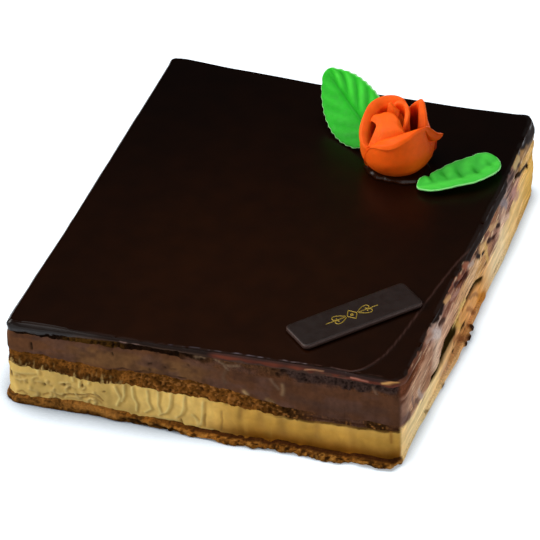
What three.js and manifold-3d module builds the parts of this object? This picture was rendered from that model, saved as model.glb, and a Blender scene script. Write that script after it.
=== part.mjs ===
// Opera cake: a rectangular slab of almond sponge, coffee buttercream and
// chocolate ganache under a dark mirror glaze, decorated with a chocolate
// plaque, a sugar-paste rose in a dab of glaze, and two sugar-paste leaves.
//
// Millimetres, +Z up. The origin is the middle of the flat underside, +X runs
// along the front cut edge and +Y towards the back. Every layer runs through
// the whole slab, so each one is a closed solid with its cut edge showing.

import * as THREE from 'three';
import { mergeVertices } from 'three/addons/utils/BufferGeometryUtils.js';
import Module from 'manifold-3d';

// ---------------------------------------------------------------- dimensions

// Clearance left between pieces that touch.
const GAP = 0.3;

// Plan corners in the order front left, front right, back right, back left.
const SLAB = {
  height: 38.1,
  cornerRadius: 3,
  bottomCorners: [[-81.0, -97.2], [77.7, -94.6], [79.3, 97.0], [-81.0, 98.4]],
  topCorners: [[-78.9, -96.0], [79.5, -91.9], [81.2, 94.2], [-79.4, 98.1]],
  stationsPerSide: [32, 26, 18, 20],
  insetScale: 0.91,
};

// Where each layer ends inside the slab, away from the cut edges.
const INNER_TOPS = [3.6, 16.5, 22.5, 31.8, 35.8];

// Readings round the rim. A place is the side number (0 front, 1 right,
// 2 back, 3 left) plus the part of that side already passed. Then come the
// tops of bottom sponge, buttercream, middle sponge, ganache and top sponge,
// how far the bottom sponge's crumbly foot sticks out, how far the glaze
// draws back at its top edge, and how far the whole wall stands out.
const RIM = [
  [0.00, 4.0, 18.5, 25.0, 33.5, 35.3, 1.0, 1.6, 0.8],
  [0.03, 4.2, 18.1, 24.9, 33.5, 35.3, 1.0, 2.6, 0.0],
  [0.11, 4.8, 17.0, 24.5, 33.5, 35.3, 1.0, 2.7, 0.0],
  [0.20, 5.6, 16.0, 23.8, 33.5, 36.0, 1.0, 1.6, 0.0],
  [0.25, 4.8, 14.9, 22.6, 33.6, 36.4, 1.2, 1.0, 0.0],
  [0.28, 4.4, 17.8, 23.4, 34.0, 36.4, 1.8, 1.0, 0.0],
  [0.34, 3.5, 17.0, 24.4, 34.5, 36.4, 2.0, 1.0, 0.0],
  [0.43, 3.4, 16.7, 24.0, 34.4, 36.4, 3.0, 1.3, 0.0],
  [0.50, 2.0, 16.2, 23.8, 32.2, 36.2, 4.5, 2.2, 0.0],
  [0.56, 1.9, 15.4, 22.4, 31.3, 36.0, 4.8, 2.4, 0.0],
  [0.62, 2.2, 14.6, 20.4, 31.0, 36.0, 4.5, 2.6, 0.0],
  [0.75, 2.7, 14.0, 18.2, 31.0, 36.0, 4.2, 3.0, 0.0],
  [0.84, 1.9, 14.9, 17.1, 31.0, 36.0, 4.8, 3.2, 0.0],
  [0.91, 3.0, 15.2, 18.6, 31.0, 36.0, 4.2, 1.6, 0.0],
  [0.98, 2.6, 15.2, 17.6, 31.0, 36.0, 5.2, 1.2, 0.0],
  [1.00, 2.5, 15.2, 17.4, 31.0, 36.0, 1.6, 1.2, -0.3],
  [1.03, 2.6, 15.4, 17.8, 31.0, 35.9, 0.2, 1.6, -0.3],
  [1.15, 3.0, 16.6, 19.6, 31.2, 35.6, 0.6, 1.8, 0.2],
  [1.38, 4.5, 17.5, 21.0, 31.4, 34.6, 2.6, 1.2, 0.3],
  [1.46, 4.4, 18.2, 21.3, 31.2, 34.3, 2.2, 1.2, 0.5],
  [1.55, 3.4, 18.8, 21.6, 31.0, 34.2, 0.8, 1.2, 0.7],
  [1.75, 2.6, 20.0, 22.5, 30.4, 33.6, 0.6, 1.2, 1.1],
  [1.92, 2.4, 20.4, 22.8, 27.4, 29.6, 0.6, 1.2, 0.3],
  [2.00, 2.4, 20.2, 22.8, 27.4, 29.8, 0.6, 1.2, 0.0],
  [2.25, 3.4, 18.6, 22.6, 31.0, 34.2, 0.8, 1.2, -2.0],
  [2.50, 4.2, 17.4, 23.2, 32.0, 35.2, 1.0, 1.2, -2.8],
  [2.80, 3.8, 17.6, 24.0, 32.6, 35.4, 1.0, 1.2, -1.5],
  [3.00, 4.0, 18.0, 24.4, 33.0, 35.3, 1.0, 1.2, 0.0],
  [3.30, 4.6, 17.2, 24.2, 33.2, 35.6, 1.2, 1.2, 0.0],
  [3.65, 3.8, 18.2, 24.8, 33.0, 35.0, 0.8, 1.2, 0.0],
  [3.88, 3.9, 18.4, 24.9, 33.3, 35.2, 1.0, 1.3, 0.6],
];
const FOOT = 6;
const SHOULDER = 7;
const WALL = 8;

// Side rows of each layer between its two interfaces: the part of the
// layer's height, the part of the foot or shoulder that shifts the row
// sideways, a fixed bulge, and how rough the row is.
const LAYERS = [
  { name: 'sponge_bottom', colour: 0x8a6435, roughness: 0.95,
    rows: [[0.0, 0.75, 0, 0.5], [0.35, 1.0, 0, 0.7], [0.85, 0.85, 0, 0.6]] },
  { name: 'coffee_buttercream', colour: 0xc39a5b, roughness: 0.6,
    rows: [[0.3, 0, 0.3, 0.3], [0.7, 0, 0.3, 0.3]] },
  { name: 'sponge_middle', colour: 0x56361a, roughness: 0.95,
    rows: [[0.5, 0, -0.2, 0.5]] },
  { name: 'chocolate_ganache', colour: 0x543728, roughness: 0.75,
    rows: [[0.35, 0, 0.2, 0.4], [0.75, 0, 0.1, 0.4]] },
  { name: 'sponge_top', colour: 0x4b3120, roughness: 0.95,
    rows: [[0.5, 0, -0.3, 0.4]] },
  { name: 'chocolate_glaze', colour: 0x1a0a05, roughness: 0.12,
    rows: [[0.3, 0, 0.5, 0.1], [0.75, -0.35, 0.1, 0.1], [1.0, -1.0, 0, 0]] },
];
const EDGE_ROUGHNESS = 0.35;

// The dab of glaze that holds the rose.
const DAB = { x: 35.3, y: 46.2, radius: 14.0, height: 0.7, sides: 26 };

// Chocolate plaque lying across the front right corner.
const PLAQUE = {
  length: 53, width: 16.2, thickness: 2.2, bevel: 0.7, cornerRadius: 1.6,
  x: 49.5, y: -58.5, headingDeg: 47.8,
};

// Rose. Angles run round its axis: 0 faces the viewer in front, 90 is its
// right, 180 its back. Profiles are [height, radius] pairs.
const ROSE = {
  headingDeg: 19.7,
  seat: SLAB.height + DAB.height + GAP,
  thickness: 1.45,
  rimThickness: 1.0,
  crest: 0.8,
  rows: [0, 0.14, 0.3, 0.46, 0.63, 0.8, 0.88, 0.95, 1],
  outer: [[0, 10.2], [2, 12.6], [5, 14.4], [9, 15.3], [13, 15.1], [17, 14.0], [21, 12.4], [26, 11.6]],
  front: [[0, 6.6], [4, 9.2], [9, 10.9], [13, 10.7], [17, 9.4], [21, 7.9], [25, 6.8]],
  bud: [[0, 4.5], [4, 6.3], [9, 6.9], [14, 6.2], [19, 5.4], [25, 4.8]],
  heart: [[0, 1.9], [3, 3.2], [8, 4.1], [12, 3.7], [16, 3.1], [20, 2.4], [23, 1.6], [24.9, 0.7]],
  heartSides: 18,
};

// Each petal: where it starts and ends, the profile it follows, how far its
// first and last edge stand out of that profile, the height of its crest at
// even steps along it, and how far its margin rolls outwards there.
const PETALS = [
  { name: 'rose_petal_cup', profile: ROSE.outer, from: 100, to: -62, shift: [1.05, -1.05],
    crest: [9.0, 15.2, 19.0, 19.0, 16.6, 14.7, 13.5, 12.4],
    roll: [3.0, 2.8, 1.4, 1.0, 1.6, 1.8, 1.0, 0.1], columns: 18 },
  { name: 'rose_petal_left', profile: ROSE.outer, from: -50, to: -216, shift: [1.05, -1.05],
    crest: [8.0, 15.0, 17.4, 17.8, 19.0, 20.8, 22.4, 21.8, 18.4],
    roll: [1.0, 1.2, 1.0, 0.9, 0.8, 0.8, 0.6, 0.3, 0.1], columns: 18 },
  { name: 'rose_petal_back', profile: ROSE.outer, from: 158, to: 94, shift: [1.6, -1.05],
    crest: [15.6, 18.2, 21.4, 24.6, 23.8],
    roll: [0.2, 0.4, 0.6, 0.9, 0.6], columns: 10 },
  { name: 'rose_petal_front', profile: ROSE.front, from: 62, to: -100, shift: [0.1, 0.3],
    crest: [13.4, 19.2, 23.2, 24.6, 24.2, 21.4, 17.0],
    roll: [0, 0.2, 0.3, 0.3, 0.4, 0.6, 0.8], columns: 16 },
  { name: 'rose_petal_bud', profile: ROSE.bud, from: 240, to: 26, shift: [-1.5, -0.6, 0.3, 0.8, 0.6, 0.3, 0.1],
    crest: [22.4, 23.4, 23.4, 22.4, 21.0, 19.4, 16.8],
    roll: [0, 0.1, 0.2, 0.3, 0.3, 0.1, 0], columns: 16 },
];

// Leaves. Half widths and folds, the slope of each half off the midrib, are
// given for the left and then the right side, seen from the stalk end.
const LEAF_THICKNESS = 1.4;
const LEAF_ROWS = 24;
const LEAF_COLUMNS = 6;
const LEAVES = [
  { name: 'leaf_large', length: 42.4, halfWidths: [12.8, 12.3], folds: [0.1, 0.1], bend: 1.6,
    veins: 5, base: [24.8, 50.6, 42.4], headingDeg: 135.3, slopeDeg: 17.9, rollDeg: -47.5 },
  { name: 'leaf_small', length: 36.5, halfWidths: [8.6, 7.8], folds: [0.25, 0.3], bend: 0.8,
    veins: 4, base: [48.8, 31.0, 39.5], headingDeg: 39.4, slopeDeg: 0.5, rollDeg: 0 },
];
const ROSE_CLEARANCE = 0.5;

const COLOURS = { rose: 0xd95a1c, leaf: 0x3bbc3a, plaque: 0x241814 };

// ------------------------------------------------------------------- helpers

const lerp = THREE.MathUtils.lerp;
const radians = THREE.MathUtils.degToRad;

function fade(part) {
  return part * part * (3 - 2 * part);
}

// Value from a list spread evenly over 0..1, eased between its entries.
function along(values, part) {
  const place = Math.min(Math.max(part, 0), 1) * (values.length - 1);
  const index = Math.min(Math.floor(place), values.length - 2);
  return lerp(values[index], values[index + 1], fade(place - index));
}

// The same with straight lines between the entries.
function steady(values, part) {
  const place = part * (values.length - 1);
  const index = Math.min(Math.floor(place), values.length - 2);
  return lerp(values[index], values[index + 1], place - index);
}

// Straight-line value from [at, value] pairs.
function profileAt(pairs, at) {
  const last = pairs.length - 1;
  let index = 0;
  while (index < last - 1 && at > pairs[index + 1][0]) index += 1;
  const [a, va] = pairs[index];
  const [b, vb] = pairs[index + 1];
  return lerp(va, vb, Math.min(Math.max((at - a) / (b - a), 0), 1));
}

// One reading of the RIM table at any place, eased between its rows.
function rimReading(place, column) {
  const turn = ((place % 4) + 4) % 4;
  let index = RIM.length - 1;
  while (RIM[index][0] > turn) index -= 1;
  const row = RIM[index];
  const next = RIM[(index + 1) % RIM.length];
  const span = (index === RIM.length - 1 ? 4 : next[0]) - row[0];
  return lerp(row[column], next[column], fade((turn - row[0]) / span));
}

// Repeatable roughness between -1 and 1 round the rim.
function roughAt(place, seed) {
  const waves = [[23, 1.7], [41, 3.1], [67, 5.3]];
  const total = waves.reduce((sum, [rate, phase]) => {
    return sum + Math.sin(Math.PI * 0.5 * rate * place + phase * (seed + 1));
  }, 0);
  return total / waves.length;
}

function meshOf(name, geometry, colour, roughness) {
  const material = new THREE.MeshStandardMaterial({ color: colour, roughness, metalness: 0 });
  const mesh = new THREE.Mesh(geometry, material);
  mesh.name = name;
  return mesh;
}

function indexedGeometry(points, triangles) {
  const geometry = new THREE.BufferGeometry();
  const flat = points.flatMap((point) => [point.x, point.y, point.z]);
  geometry.setAttribute('position', new THREE.Float32BufferAttribute(flat, 3));
  geometry.setIndex(triangles.flat());
  geometry.computeVertexNormals();
  return geometry;
}

// -------------------------------------------------------------- slab outline

// Places of the wall stations, closer together round the four corners.
function stationPlaces() {
  const places = [];
  SLAB.stationsPerSide.forEach((count, side) => {
    const [ax, ay] = SLAB.topCorners[side];
    const [bx, by] = SLAB.topCorners[(side + 1) % 4];
    const corner = SLAB.cornerRadius / Math.hypot(bx - ax, by - ay);
    places.push(side, side + corner / 2);
    for (let step = 0; step <= count; step += 1) {
      places.push(side + lerp(corner, 1 - corner, step / count));
    }
    places.push(side + 1 - corner / 2);
  });
  return places;
}

// Point of the slab's outline at a place and height, pushed out sideways.
function wallPoint(place, z, out) {
  const rise = z / SLAB.height;
  const corners = SLAB.bottomCorners.map(([x, y], index) => new THREE.Vector2(
    lerp(x, SLAB.topCorners[index][0], rise),
    lerp(y, SLAB.topCorners[index][1], rise),
  ));
  const side = Math.floor(place) % 4;
  const part = place - Math.floor(place);
  const start = corners[side];
  const end = corners[(side + 1) % 4];
  const length = start.distanceTo(end);
  const forward = end.clone().sub(start).divideScalar(length);
  const outward = new THREE.Vector2(forward.y, -forward.x);
  const point = start.clone().lerp(end, part);
  const radius = SLAB.cornerRadius;
  const toStart = part * length;
  const toEnd = (1 - part) * length;
  const near = Math.min(toStart, toEnd);
  if (near < radius) {
    const sign = toStart < toEnd ? -1 : 1;
    const turn = (1 - near / radius) * Math.PI / 4;
    const pivot = (sign < 0 ? start : end).clone()
      .addScaledVector(forward, -sign * radius)
      .addScaledVector(outward, -radius);
    outward.rotateAround(new THREE.Vector2(), sign * turn);
    point.copy(pivot).addScaledVector(outward, radius);
  }
  point.addScaledVector(outward, out);
  return new THREE.Vector3(point.x, point.y, z);
}

// -------------------------------------------------------------- slab layers

// Closed solid from stacked rings, first to last from the middle of the
// underside, out, up the wall and back to the middle of the top. Facing
// surfaces of two layers have to be split along the same diagonals, so the
// first band of a layer that lies on another is split the other way.
function ringSolid(rings, bottomCentre, topCentre, liesOnLayer) {
  const count = rings[0].length;
  const last = rings.length - 1;
  const points = [bottomCentre, topCentre, ...rings.flat()];
  const triangles = [];
  const at = (ring, station) => 2 + ring * count + (station % count);
  for (let station = 0; station < count; station += 1) {
    triangles.push([0, at(0, station + 1), at(0, station)]);
    for (let ring = 0; ring < last; ring += 1) {
      const a = at(ring, station);
      const b = at(ring, station + 1);
      const c = at(ring + 1, station + 1);
      const d = at(ring + 1, station);
      if (ring === 0 && liesOnLayer) triangles.push([a, b, d], [b, c, d]);
      else triangles.push([a, b, c], [a, c, d]);
    }
    triangles.push([1, at(last, station), at(last, station + 1)]);
  }
  return indexedGeometry(points, triangles);
}

// Height of interface k at the rim: 0 is the underside, 6 the glaze's top.
function interfaceHeight(place, k) {
  if (k === 0) return 0;
  if (k === LAYERS.length) return SLAB.height;
  return rimReading(place, k) + 0.2 * roughAt(place, 10 + k);
}

// Neighbouring layers share this rim, one half gap above and one below it.
function interfaceRing(places, k, lift) {
  return places.map((place) => {
    const z = interfaceHeight(place, k);
    const out = rimReading(place, WALL) + EDGE_ROUGHNESS * roughAt(place, 20 + k);
    return wallPoint(place, z, out).setZ(z + lift);
  });
}

function insetRing(places, z) {
  return places.map((place) => {
    const point = wallPoint(place, SLAB.height / 2, 0);
    return new THREE.Vector3(point.x * SLAB.insetScale, point.y * SLAB.insetScale, z);
  });
}

function wallRing(places, index, [part, push, bulge, roughness]) {
  const column = index === 0 ? FOOT : SHOULDER;
  return places.map((place) => {
    const low = interfaceHeight(place, index) + (index === 0 ? 0 : GAP / 2);
    const high = interfaceHeight(place, index + 1) - (index === 5 ? 0 : GAP / 2);
    const z = lerp(low, high, part);
    const out = rimReading(place, WALL) + push * rimReading(place, column)
      + bulge + roughness * roughAt(place, 30 + index * 5 + part);
    return wallPoint(place, z, out);
  });
}

function layerGeometry(index) {
  const places = stationPlaces();
  const rings = [];
  let bottom = 0;
  if (index > 0) {
    bottom = INNER_TOPS[index - 1] + GAP / 2;
    rings.push(insetRing(places, bottom), interfaceRing(places, index, GAP / 2));
  }
  LAYERS[index].rows.forEach((row) => rings.push(wallRing(places, index, row)));
  let top = SLAB.height;
  if (index < LAYERS.length - 1) {
    top = INNER_TOPS[index] - GAP / 2;
    rings.push(interfaceRing(places, index + 1, -GAP / 2), insetRing(places, top));
  }
  const bottomCentre = new THREE.Vector3(0, 0, bottom);
  const topCentre = new THREE.Vector3(0, 0, top);
  return ringSolid(rings, bottomCentre, topCentre, index > 0);
}

// ------------------------------------------------------------ joins and cuts

const wasm = await Module();
wasm.setup();

function toManifold(geometry) {
  const bare = geometry.clone();
  bare.deleteAttribute('normal');
  bare.deleteAttribute('uv');
  const merged = mergeVertices(bare, 1e-4);
  return new wasm.Manifold(new wasm.Mesh({
    numProp: 3,
    vertProperties: new Float32Array(merged.attributes.position.array),
    triVerts: new Uint32Array(merged.index.array),
  }));
}

function fromManifold(solid) {
  const { vertProperties, triVerts } = solid.getMesh();
  const geometry = new THREE.BufferGeometry();
  geometry.setAttribute('position', new THREE.BufferAttribute(vertProperties, 3));
  geometry.setIndex(new THREE.BufferAttribute(triVerts, 1));
  geometry.computeVertexNormals();
  return geometry;
}

// Solid of revolution about +Z from [height, radius] pairs, closed on the axis.
function turnedGeometry(profile, sides) {
  const lowest = profile[0][0];
  const highest = profile[profile.length - 1][0];
  const outline = [
    new THREE.Vector2(0, lowest),
    ...profile.map(([height, radius]) => new THREE.Vector2(radius, height)),
    new THREE.Vector2(0, highest),
  ];
  return new THREE.LatheGeometry(outline, sides).rotateX(Math.PI / 2);
}

function dabGeometry() {
  const { radius, height, sides } = DAB;
  const profile = [[-1, radius - 1], [0, radius], [0.6 * height, radius - 0.7], [height, radius - 1.7]];
  return turnedGeometry(profile, sides).translate(DAB.x, DAB.y, SLAB.height);
}

function glazeGeometry() {
  const slab = toManifold(layerGeometry(LAYERS.length - 1));
  return fromManifold(slab.add(toManifold(dabGeometry())));
}

// -------------------------------------------------------------------- plaque

function plaqueGeometry() {
  const { length, width, thickness, bevel, cornerRadius } = PLAQUE;
  const halfLength = length / 2 - bevel;
  const halfWidth = width / 2 - bevel;
  const shape = new THREE.Shape();
  shape.moveTo(-halfLength + cornerRadius, -halfWidth);
  [[1, -1, -90], [1, 1, 0], [-1, 1, 90], [-1, -1, 180]].forEach(([x, y, start]) => {
    const centreX = x * (halfLength - cornerRadius);
    const centreY = y * (halfWidth - cornerRadius);
    shape.absarc(centreX, centreY, cornerRadius, radians(start), radians(start + 90));
  });
  return new THREE.ExtrudeGeometry(shape, {
    depth: thickness - 2 * bevel,
    bevelEnabled: true,
    bevelThickness: bevel,
    bevelSize: bevel,
    bevelSegments: 2,
    curveSegments: 4,
  }).translate(0, 0, bevel);
}

// ---------------------------------------------------------------------- rose

// Middle of a petal's wall, as [radius, height], for a part of its length
// (across) and of its height (up). Above the crest the margin rolls out.
function petalMiddle(petal, across, up) {
  const crest = along(petal.crest, across);
  const roll = along(petal.roll, across);
  const shift = steady(petal.shift, across);
  const height = crest * Math.min(up / ROSE.crest, 1);
  const radius = profileAt(petal.profile, height) + shift;
  const margin = Math.max(up - ROSE.crest, 0) / (1 - ROSE.crest);
  const curl = Math.min(roll / 2, 1);
  const lift = 1.2 * margin - 0.9 * curl * margin * margin;
  return [radius + roll * margin ** 1.5, height + lift];
}

// Grid of points on one face of a petal: side is 1 outside and -1 inside.
function petalFace(petal, side) {
  const nudge = 0.02;
  const rows = [];
  for (let column = 0; column <= petal.columns; column += 1) {
    const across = column / petal.columns;
    const angle = radians(lerp(petal.from, petal.to, across));
    const ends = Math.min(1, 6 * Math.min(across, 1 - across) + 0.35);
    rows.push(ROSE.rows.map((up) => {
      const [radius, height] = petalMiddle(petal, across, up);
      const [lowRadius, lowHeight] = petalMiddle(petal, across, Math.max(up - nudge, 0));
      const [highRadius, highHeight] = petalMiddle(petal, across, Math.min(up + nudge, 1));
      const lean = Math.atan2(highRadius - lowRadius, highHeight - lowHeight);
      const thin = ends * Math.min(1, (1 - up) * 4 + 0.2);
      const half = side * 0.5 * lerp(ROSE.rimThickness, ROSE.thickness, thin);
      const r = radius + half * Math.cos(lean);
      const z = Math.max(height - half * Math.sin(lean), 0);
      return new THREE.Vector3(r * Math.sin(angle), -r * Math.cos(angle), z);
    }));
  }
  return rows;
}

// Closed sheet between two matching grids of points.
function sheetSolid(faceA, faceB) {
  const columns = faceA.length;
  const rows = faceA[0].length;
  const points = [...faceA.flat(), ...faceB.flat()];
  const a = (column, row) => column * rows + row;
  const b = (column, row) => columns * rows + column * rows + row;
  const triangles = [];
  const quad = (p, q, r, s) => triangles.push([p, q, r], [p, r, s]);
  for (let c = 0; c < columns - 1; c += 1) {
    for (let r = 0; r < rows - 1; r += 1) {
      quad(a(c, r), a(c + 1, r), a(c + 1, r + 1), a(c, r + 1));
      triangles.push([b(c, r), b(c + 1, r + 1), b(c + 1, r)], [b(c, r), b(c, r + 1), b(c + 1, r + 1)]);
    }
    quad(a(c, 0), b(c, 0), b(c + 1, 0), a(c + 1, 0));
    quad(a(c, rows - 1), a(c + 1, rows - 1), b(c + 1, rows - 1), b(c, rows - 1));
  }
  for (let r = 0; r < rows - 1; r += 1) {
    quad(a(0, r), a(0, r + 1), b(0, r + 1), b(0, r));
    quad(a(columns - 1, r), b(columns - 1, r), b(columns - 1, r + 1), a(columns - 1, r + 1));
  }
  return indexedGeometry(points, triangles);
}

// Petals are listed by falling angle, which runs clockwise seen from above.
function petalGeometry(petal) {
  return sheetSolid(petalFace(petal, -1), petalFace(petal, 1));
}

function buildRose() {
  const rose = new THREE.Group();
  rose.position.set(DAB.x, DAB.y, ROSE.seat);
  rose.rotation.z = radians(ROSE.headingDeg);
  const heart = turnedGeometry(ROSE.heart, ROSE.heartSides);
  rose.add(meshOf('rose_heart', heart, COLOURS.rose, 0.5));
  PETALS.forEach((petal) => {
    rose.add(meshOf(petal.name, petalGeometry(petal), COLOURS.rose, 0.5));
  });
  return rose;
}

// -------------------------------------------------------------------- leaves

// How wide a leaf is at a part of its length: rounded at both ends, with a
// blunt toothed margin.
function leafSpread(part, row) {
  const body = Math.max(Math.sin(Math.PI * part ** 0.85), 0) ** 0.6;
  const tooth = row % 2 === 0 ? 1 : 0.965;
  return body * tooth;
}

// Height of a leaf's middle surface over its own flat plane.
function leafRelief(leaf, part, y) {
  const side = y > 0 ? 0 : 1;
  const across = y / leaf.halfWidths[side];
  const fold = leaf.folds[side] * Math.max(Math.abs(y) - 0.8, 0);
  const vein = Math.cos(2 * Math.PI * leaf.veins * (part - 0.28 * Math.abs(across)));
  const ripple = 0.4 * vein * Math.min(1, 2.5 * Math.abs(across)) * Math.sin(Math.PI * part);
  const groove = -0.5 * Math.exp(-((y / 1.6) ** 2));
  return fold + ripple + groove + leaf.bend * (2 * part - 1) ** 2;
}

function leafFace(leaf, side) {
  const tipLength = 0.985;
  const rows = [];
  for (let row = 0; row <= LEAF_ROWS; row += 1) {
    const part = lerp(0.015, tipLength, row / LEAF_ROWS);
    const spread = leafSpread(part, row);
    const points = [];
    for (let column = 0; column <= LEAF_COLUMNS; column += 1) {
      const across = (2 * column) / LEAF_COLUMNS - 1;
      const edge = Math.abs(across) < 1 ? 1 : 0.6;
      const y = across * spread * leaf.halfWidths[across > 0 ? 0 : 1];
      const z = leafRelief(leaf, part, y) + side * edge * 0.5 * LEAF_THICKNESS;
      points.push(new THREE.Vector3(part * leaf.length, y, z));
    }
    rows.push(points);
  }
  return rows;
}

function leafGeometry(leaf) {
  const geometry = sheetSolid(leafFace(leaf, 1), leafFace(leaf, -1));
  const turn = new THREE.Euler(radians(leaf.rollDeg), -radians(leaf.slopeDeg), radians(leaf.headingDeg), 'ZYX');
  const matrix = new THREE.Matrix4().makeRotationFromEuler(turn);
  matrix.setPosition(...leaf.base);
  geometry.applyMatrix4(matrix);
  return geometry;
}

// The rose's outer form grown by a clearance, which trims the leaf behind it.
function roseEnvelope() {
  const reach = 1.05 + 0.5 * ROSE.thickness + ROSE_CLEARANCE;
  const profile = ROSE.outer.map(([height, radius]) => [height, radius + reach]);
  profile.unshift([-2, profile[0][1]]);
  return turnedGeometry(profile, 40).translate(DAB.x, DAB.y, ROSE.seat);
}

function trimmedLeaf(leaf) {
  const trimmed = toManifold(leafGeometry(leaf)).subtract(toManifold(roseEnvelope()));
  return fromManifold(trimmed);
}

// ------------------------------------------------------------------ assembly

const cake = new THREE.Group();

LAYERS.forEach(({ name, colour, roughness }, index) => {
  const top = index === LAYERS.length - 1;
  cake.add(meshOf(name, top ? glazeGeometry() : layerGeometry(index), colour, roughness));
});

const plaque = meshOf('chocolate_plaque', plaqueGeometry(), COLOURS.plaque, 0.4);
plaque.position.set(PLAQUE.x, PLAQUE.y, SLAB.height + GAP);
plaque.rotation.z = radians(PLAQUE.headingDeg);
cake.add(plaque);

cake.add(buildRose());

LEAVES.forEach((leaf) => {
  cake.add(meshOf(leaf.name, trimmedLeaf(leaf), COLOURS.leaf, 0.45));
});

export default cake;
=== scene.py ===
"""Looks of the opera cake: every CAD node is replaced by a finely modelled piece.

The slab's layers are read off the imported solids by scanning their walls, then
given crumb, pits, knife marks and smears as real relief. Work is done in
millimetres in the part's own frame and scaled to metres when a mesh is made.
"""
import math

import bpy
import numpy as np
from mathutils import Matrix, Vector
from mathutils.bvhtree import BVHTree


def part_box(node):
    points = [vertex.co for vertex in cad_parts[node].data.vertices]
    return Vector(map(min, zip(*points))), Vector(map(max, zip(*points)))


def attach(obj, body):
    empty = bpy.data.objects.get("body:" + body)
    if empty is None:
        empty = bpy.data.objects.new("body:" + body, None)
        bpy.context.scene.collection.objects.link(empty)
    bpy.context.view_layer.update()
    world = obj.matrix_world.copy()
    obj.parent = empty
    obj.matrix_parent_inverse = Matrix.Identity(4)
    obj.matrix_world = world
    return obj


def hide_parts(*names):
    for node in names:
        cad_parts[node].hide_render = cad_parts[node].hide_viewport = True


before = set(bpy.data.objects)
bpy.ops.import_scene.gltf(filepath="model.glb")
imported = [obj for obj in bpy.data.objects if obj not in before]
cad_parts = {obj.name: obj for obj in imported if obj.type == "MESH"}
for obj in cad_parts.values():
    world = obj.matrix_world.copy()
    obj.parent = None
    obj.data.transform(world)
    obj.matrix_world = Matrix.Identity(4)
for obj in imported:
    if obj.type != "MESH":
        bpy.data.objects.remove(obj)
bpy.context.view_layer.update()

MM = 0.001

# --- dimensions

LAYERS = [
    "sponge_bottom",
    "coffee_buttercream",
    "sponge_middle",
    "chocolate_ganache",
    "sponge_top",
    "chocolate_glaze",
]
# Rows of points up the wall of each layer.
WALL_ROWS = [14, 30, 20, 22, 12, 11]

# The scan walks round a rounded rectangle and looks inwards from SCAN_LEAD
# outside it, at every SCAN_EVERY-th station.
SCAN_CORNER = 26.0
SCAN_START = 0.1
SCAN_STEP = 0.25
SCAN_LEAD = 14.0
STATION_STEP = 0.43
SCAN_EVERY = 4
SCAN_REACH = 4
PROFILE_STEPS = 60

# Edges of the layers sharper than RIM_ANGLE degrees are not shaded smooth.
RIM_ANGLE = 62
TOP_HEIGHT = 38.1
TOP_ROUGHNESS = 0.3

# How far in from the wall's edge the rings of the glaze's top lie, and then
# how much of the rest; hidden faces are pulled in by a share of their size.
TOP_INSETS = np.concatenate([np.arange(0.4, 6.0, 0.4), np.arange(6.0, 16.2, 0.6)])
TOP_RINGS = np.linspace(0.06, 0.96, 18)
HIDDEN_INSET = 0.09

# --- palettes

GLAZE = (26, 8, 1)
PLAQUE_COLOUR = (27, 14, 9)
# Lighter colour of the plaque's bevel: a painted highlight.
PLAQUE_BEVEL_HIGHLIGHT = (70, 50, 44)
GOLD = (156, 130, 42)
ROSE_COLOUR = (240, 96, 18)
# Deeper colour at the petals' foot: painted shade.
ROSE_FOOT_SHADE = (222, 78, 6)
# Lighter copy of the rose's colour for the cup's outside: painted light.
ROSE_CUP_PAINTED_LIGHT = (246, 94, 12)
ROSE_INSIDE = (252, 78, 8)
# Darkest red deep in the rolled petals: painted shade in their hollows.
ROSE_HOLLOW_SHADE = (120, 20, 2)


def linear(colour):
    """Scene-linear RGB of an sRGB colour given as 0..255 numbers."""
    c = np.asarray(colour, float) / 255
    return np.where(c <= 0.04045, c / 12.92, ((c + 0.055) / 1.055) ** 2.4)


# --- noise


def smooth(x):
    """Smoothstep of x, held between 0 and 1."""
    x = np.clip(x, 0, 1)
    return x * x * (3 - 2 * x)


def mix(a, b, part):
    return a + (b - a) * part


def spline(points, where):
    """Catmull-Rom curve through evenly stepped points, at places from 0 to 1 along it."""
    points = np.asarray(points, float)
    last = len(points) - 1
    place = np.clip(np.asarray(where, float) * last, 0, last - 1e-9)
    i = place.astype(int)
    f = (place - i).reshape(-1, *[1] * (points.ndim - 1))
    long = np.concatenate([2 * points[:1] - points[1:2], points, 2 * points[-1:] - points[-2:-1]])
    a, b, c, d = long[i], long[i + 1], long[i + 2], long[i + 3]
    return 0.5 * (2 * b + (c - a) * f + (2 * a - 5 * b + 4 * c - d) * f**2 + (3 * b - a - 3 * c + d) * f**3)


# Rows of random values before noise, or pits, repeat upwards.
NOISE_ROWS = 61
PIT_ROWS = 67


def noise(u, v, size, seed, stretch=1.0):
    """Smooth noise between -1 and 1 over a plane. Along u it repeats every PERIMETER."""
    columns = int(round(PERIMETER / size))
    table = np.random.default_rng(seed).uniform(-1, 1, (columns, NOISE_ROWS))
    x = np.asarray(u, float) / PERIMETER * columns
    y = np.asarray(v, float) / (size * stretch) + 0.37 * seed
    ix, iy = np.floor(x).astype(int), np.floor(y).astype(int)
    fx, fy = smooth(x - ix), smooth(y - iy)
    low, high = (mix(table[ix % columns, row], table[(ix + 1) % columns, row], fx)
                 for row in (iy % NOISE_ROWS, (iy + 1) % NOISE_ROWS))
    return mix(low, high, fy)


def rough(u, v, size, seed, octaves=3, stretch=1.0):
    """Noise with finer and weaker noise on it, roughly between -1 and 1."""
    total = sum(noise(u, v, size / 2**k, seed + 11 * k, stretch) / 2**k for k in range(octaves))
    return total / 1.4


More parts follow.
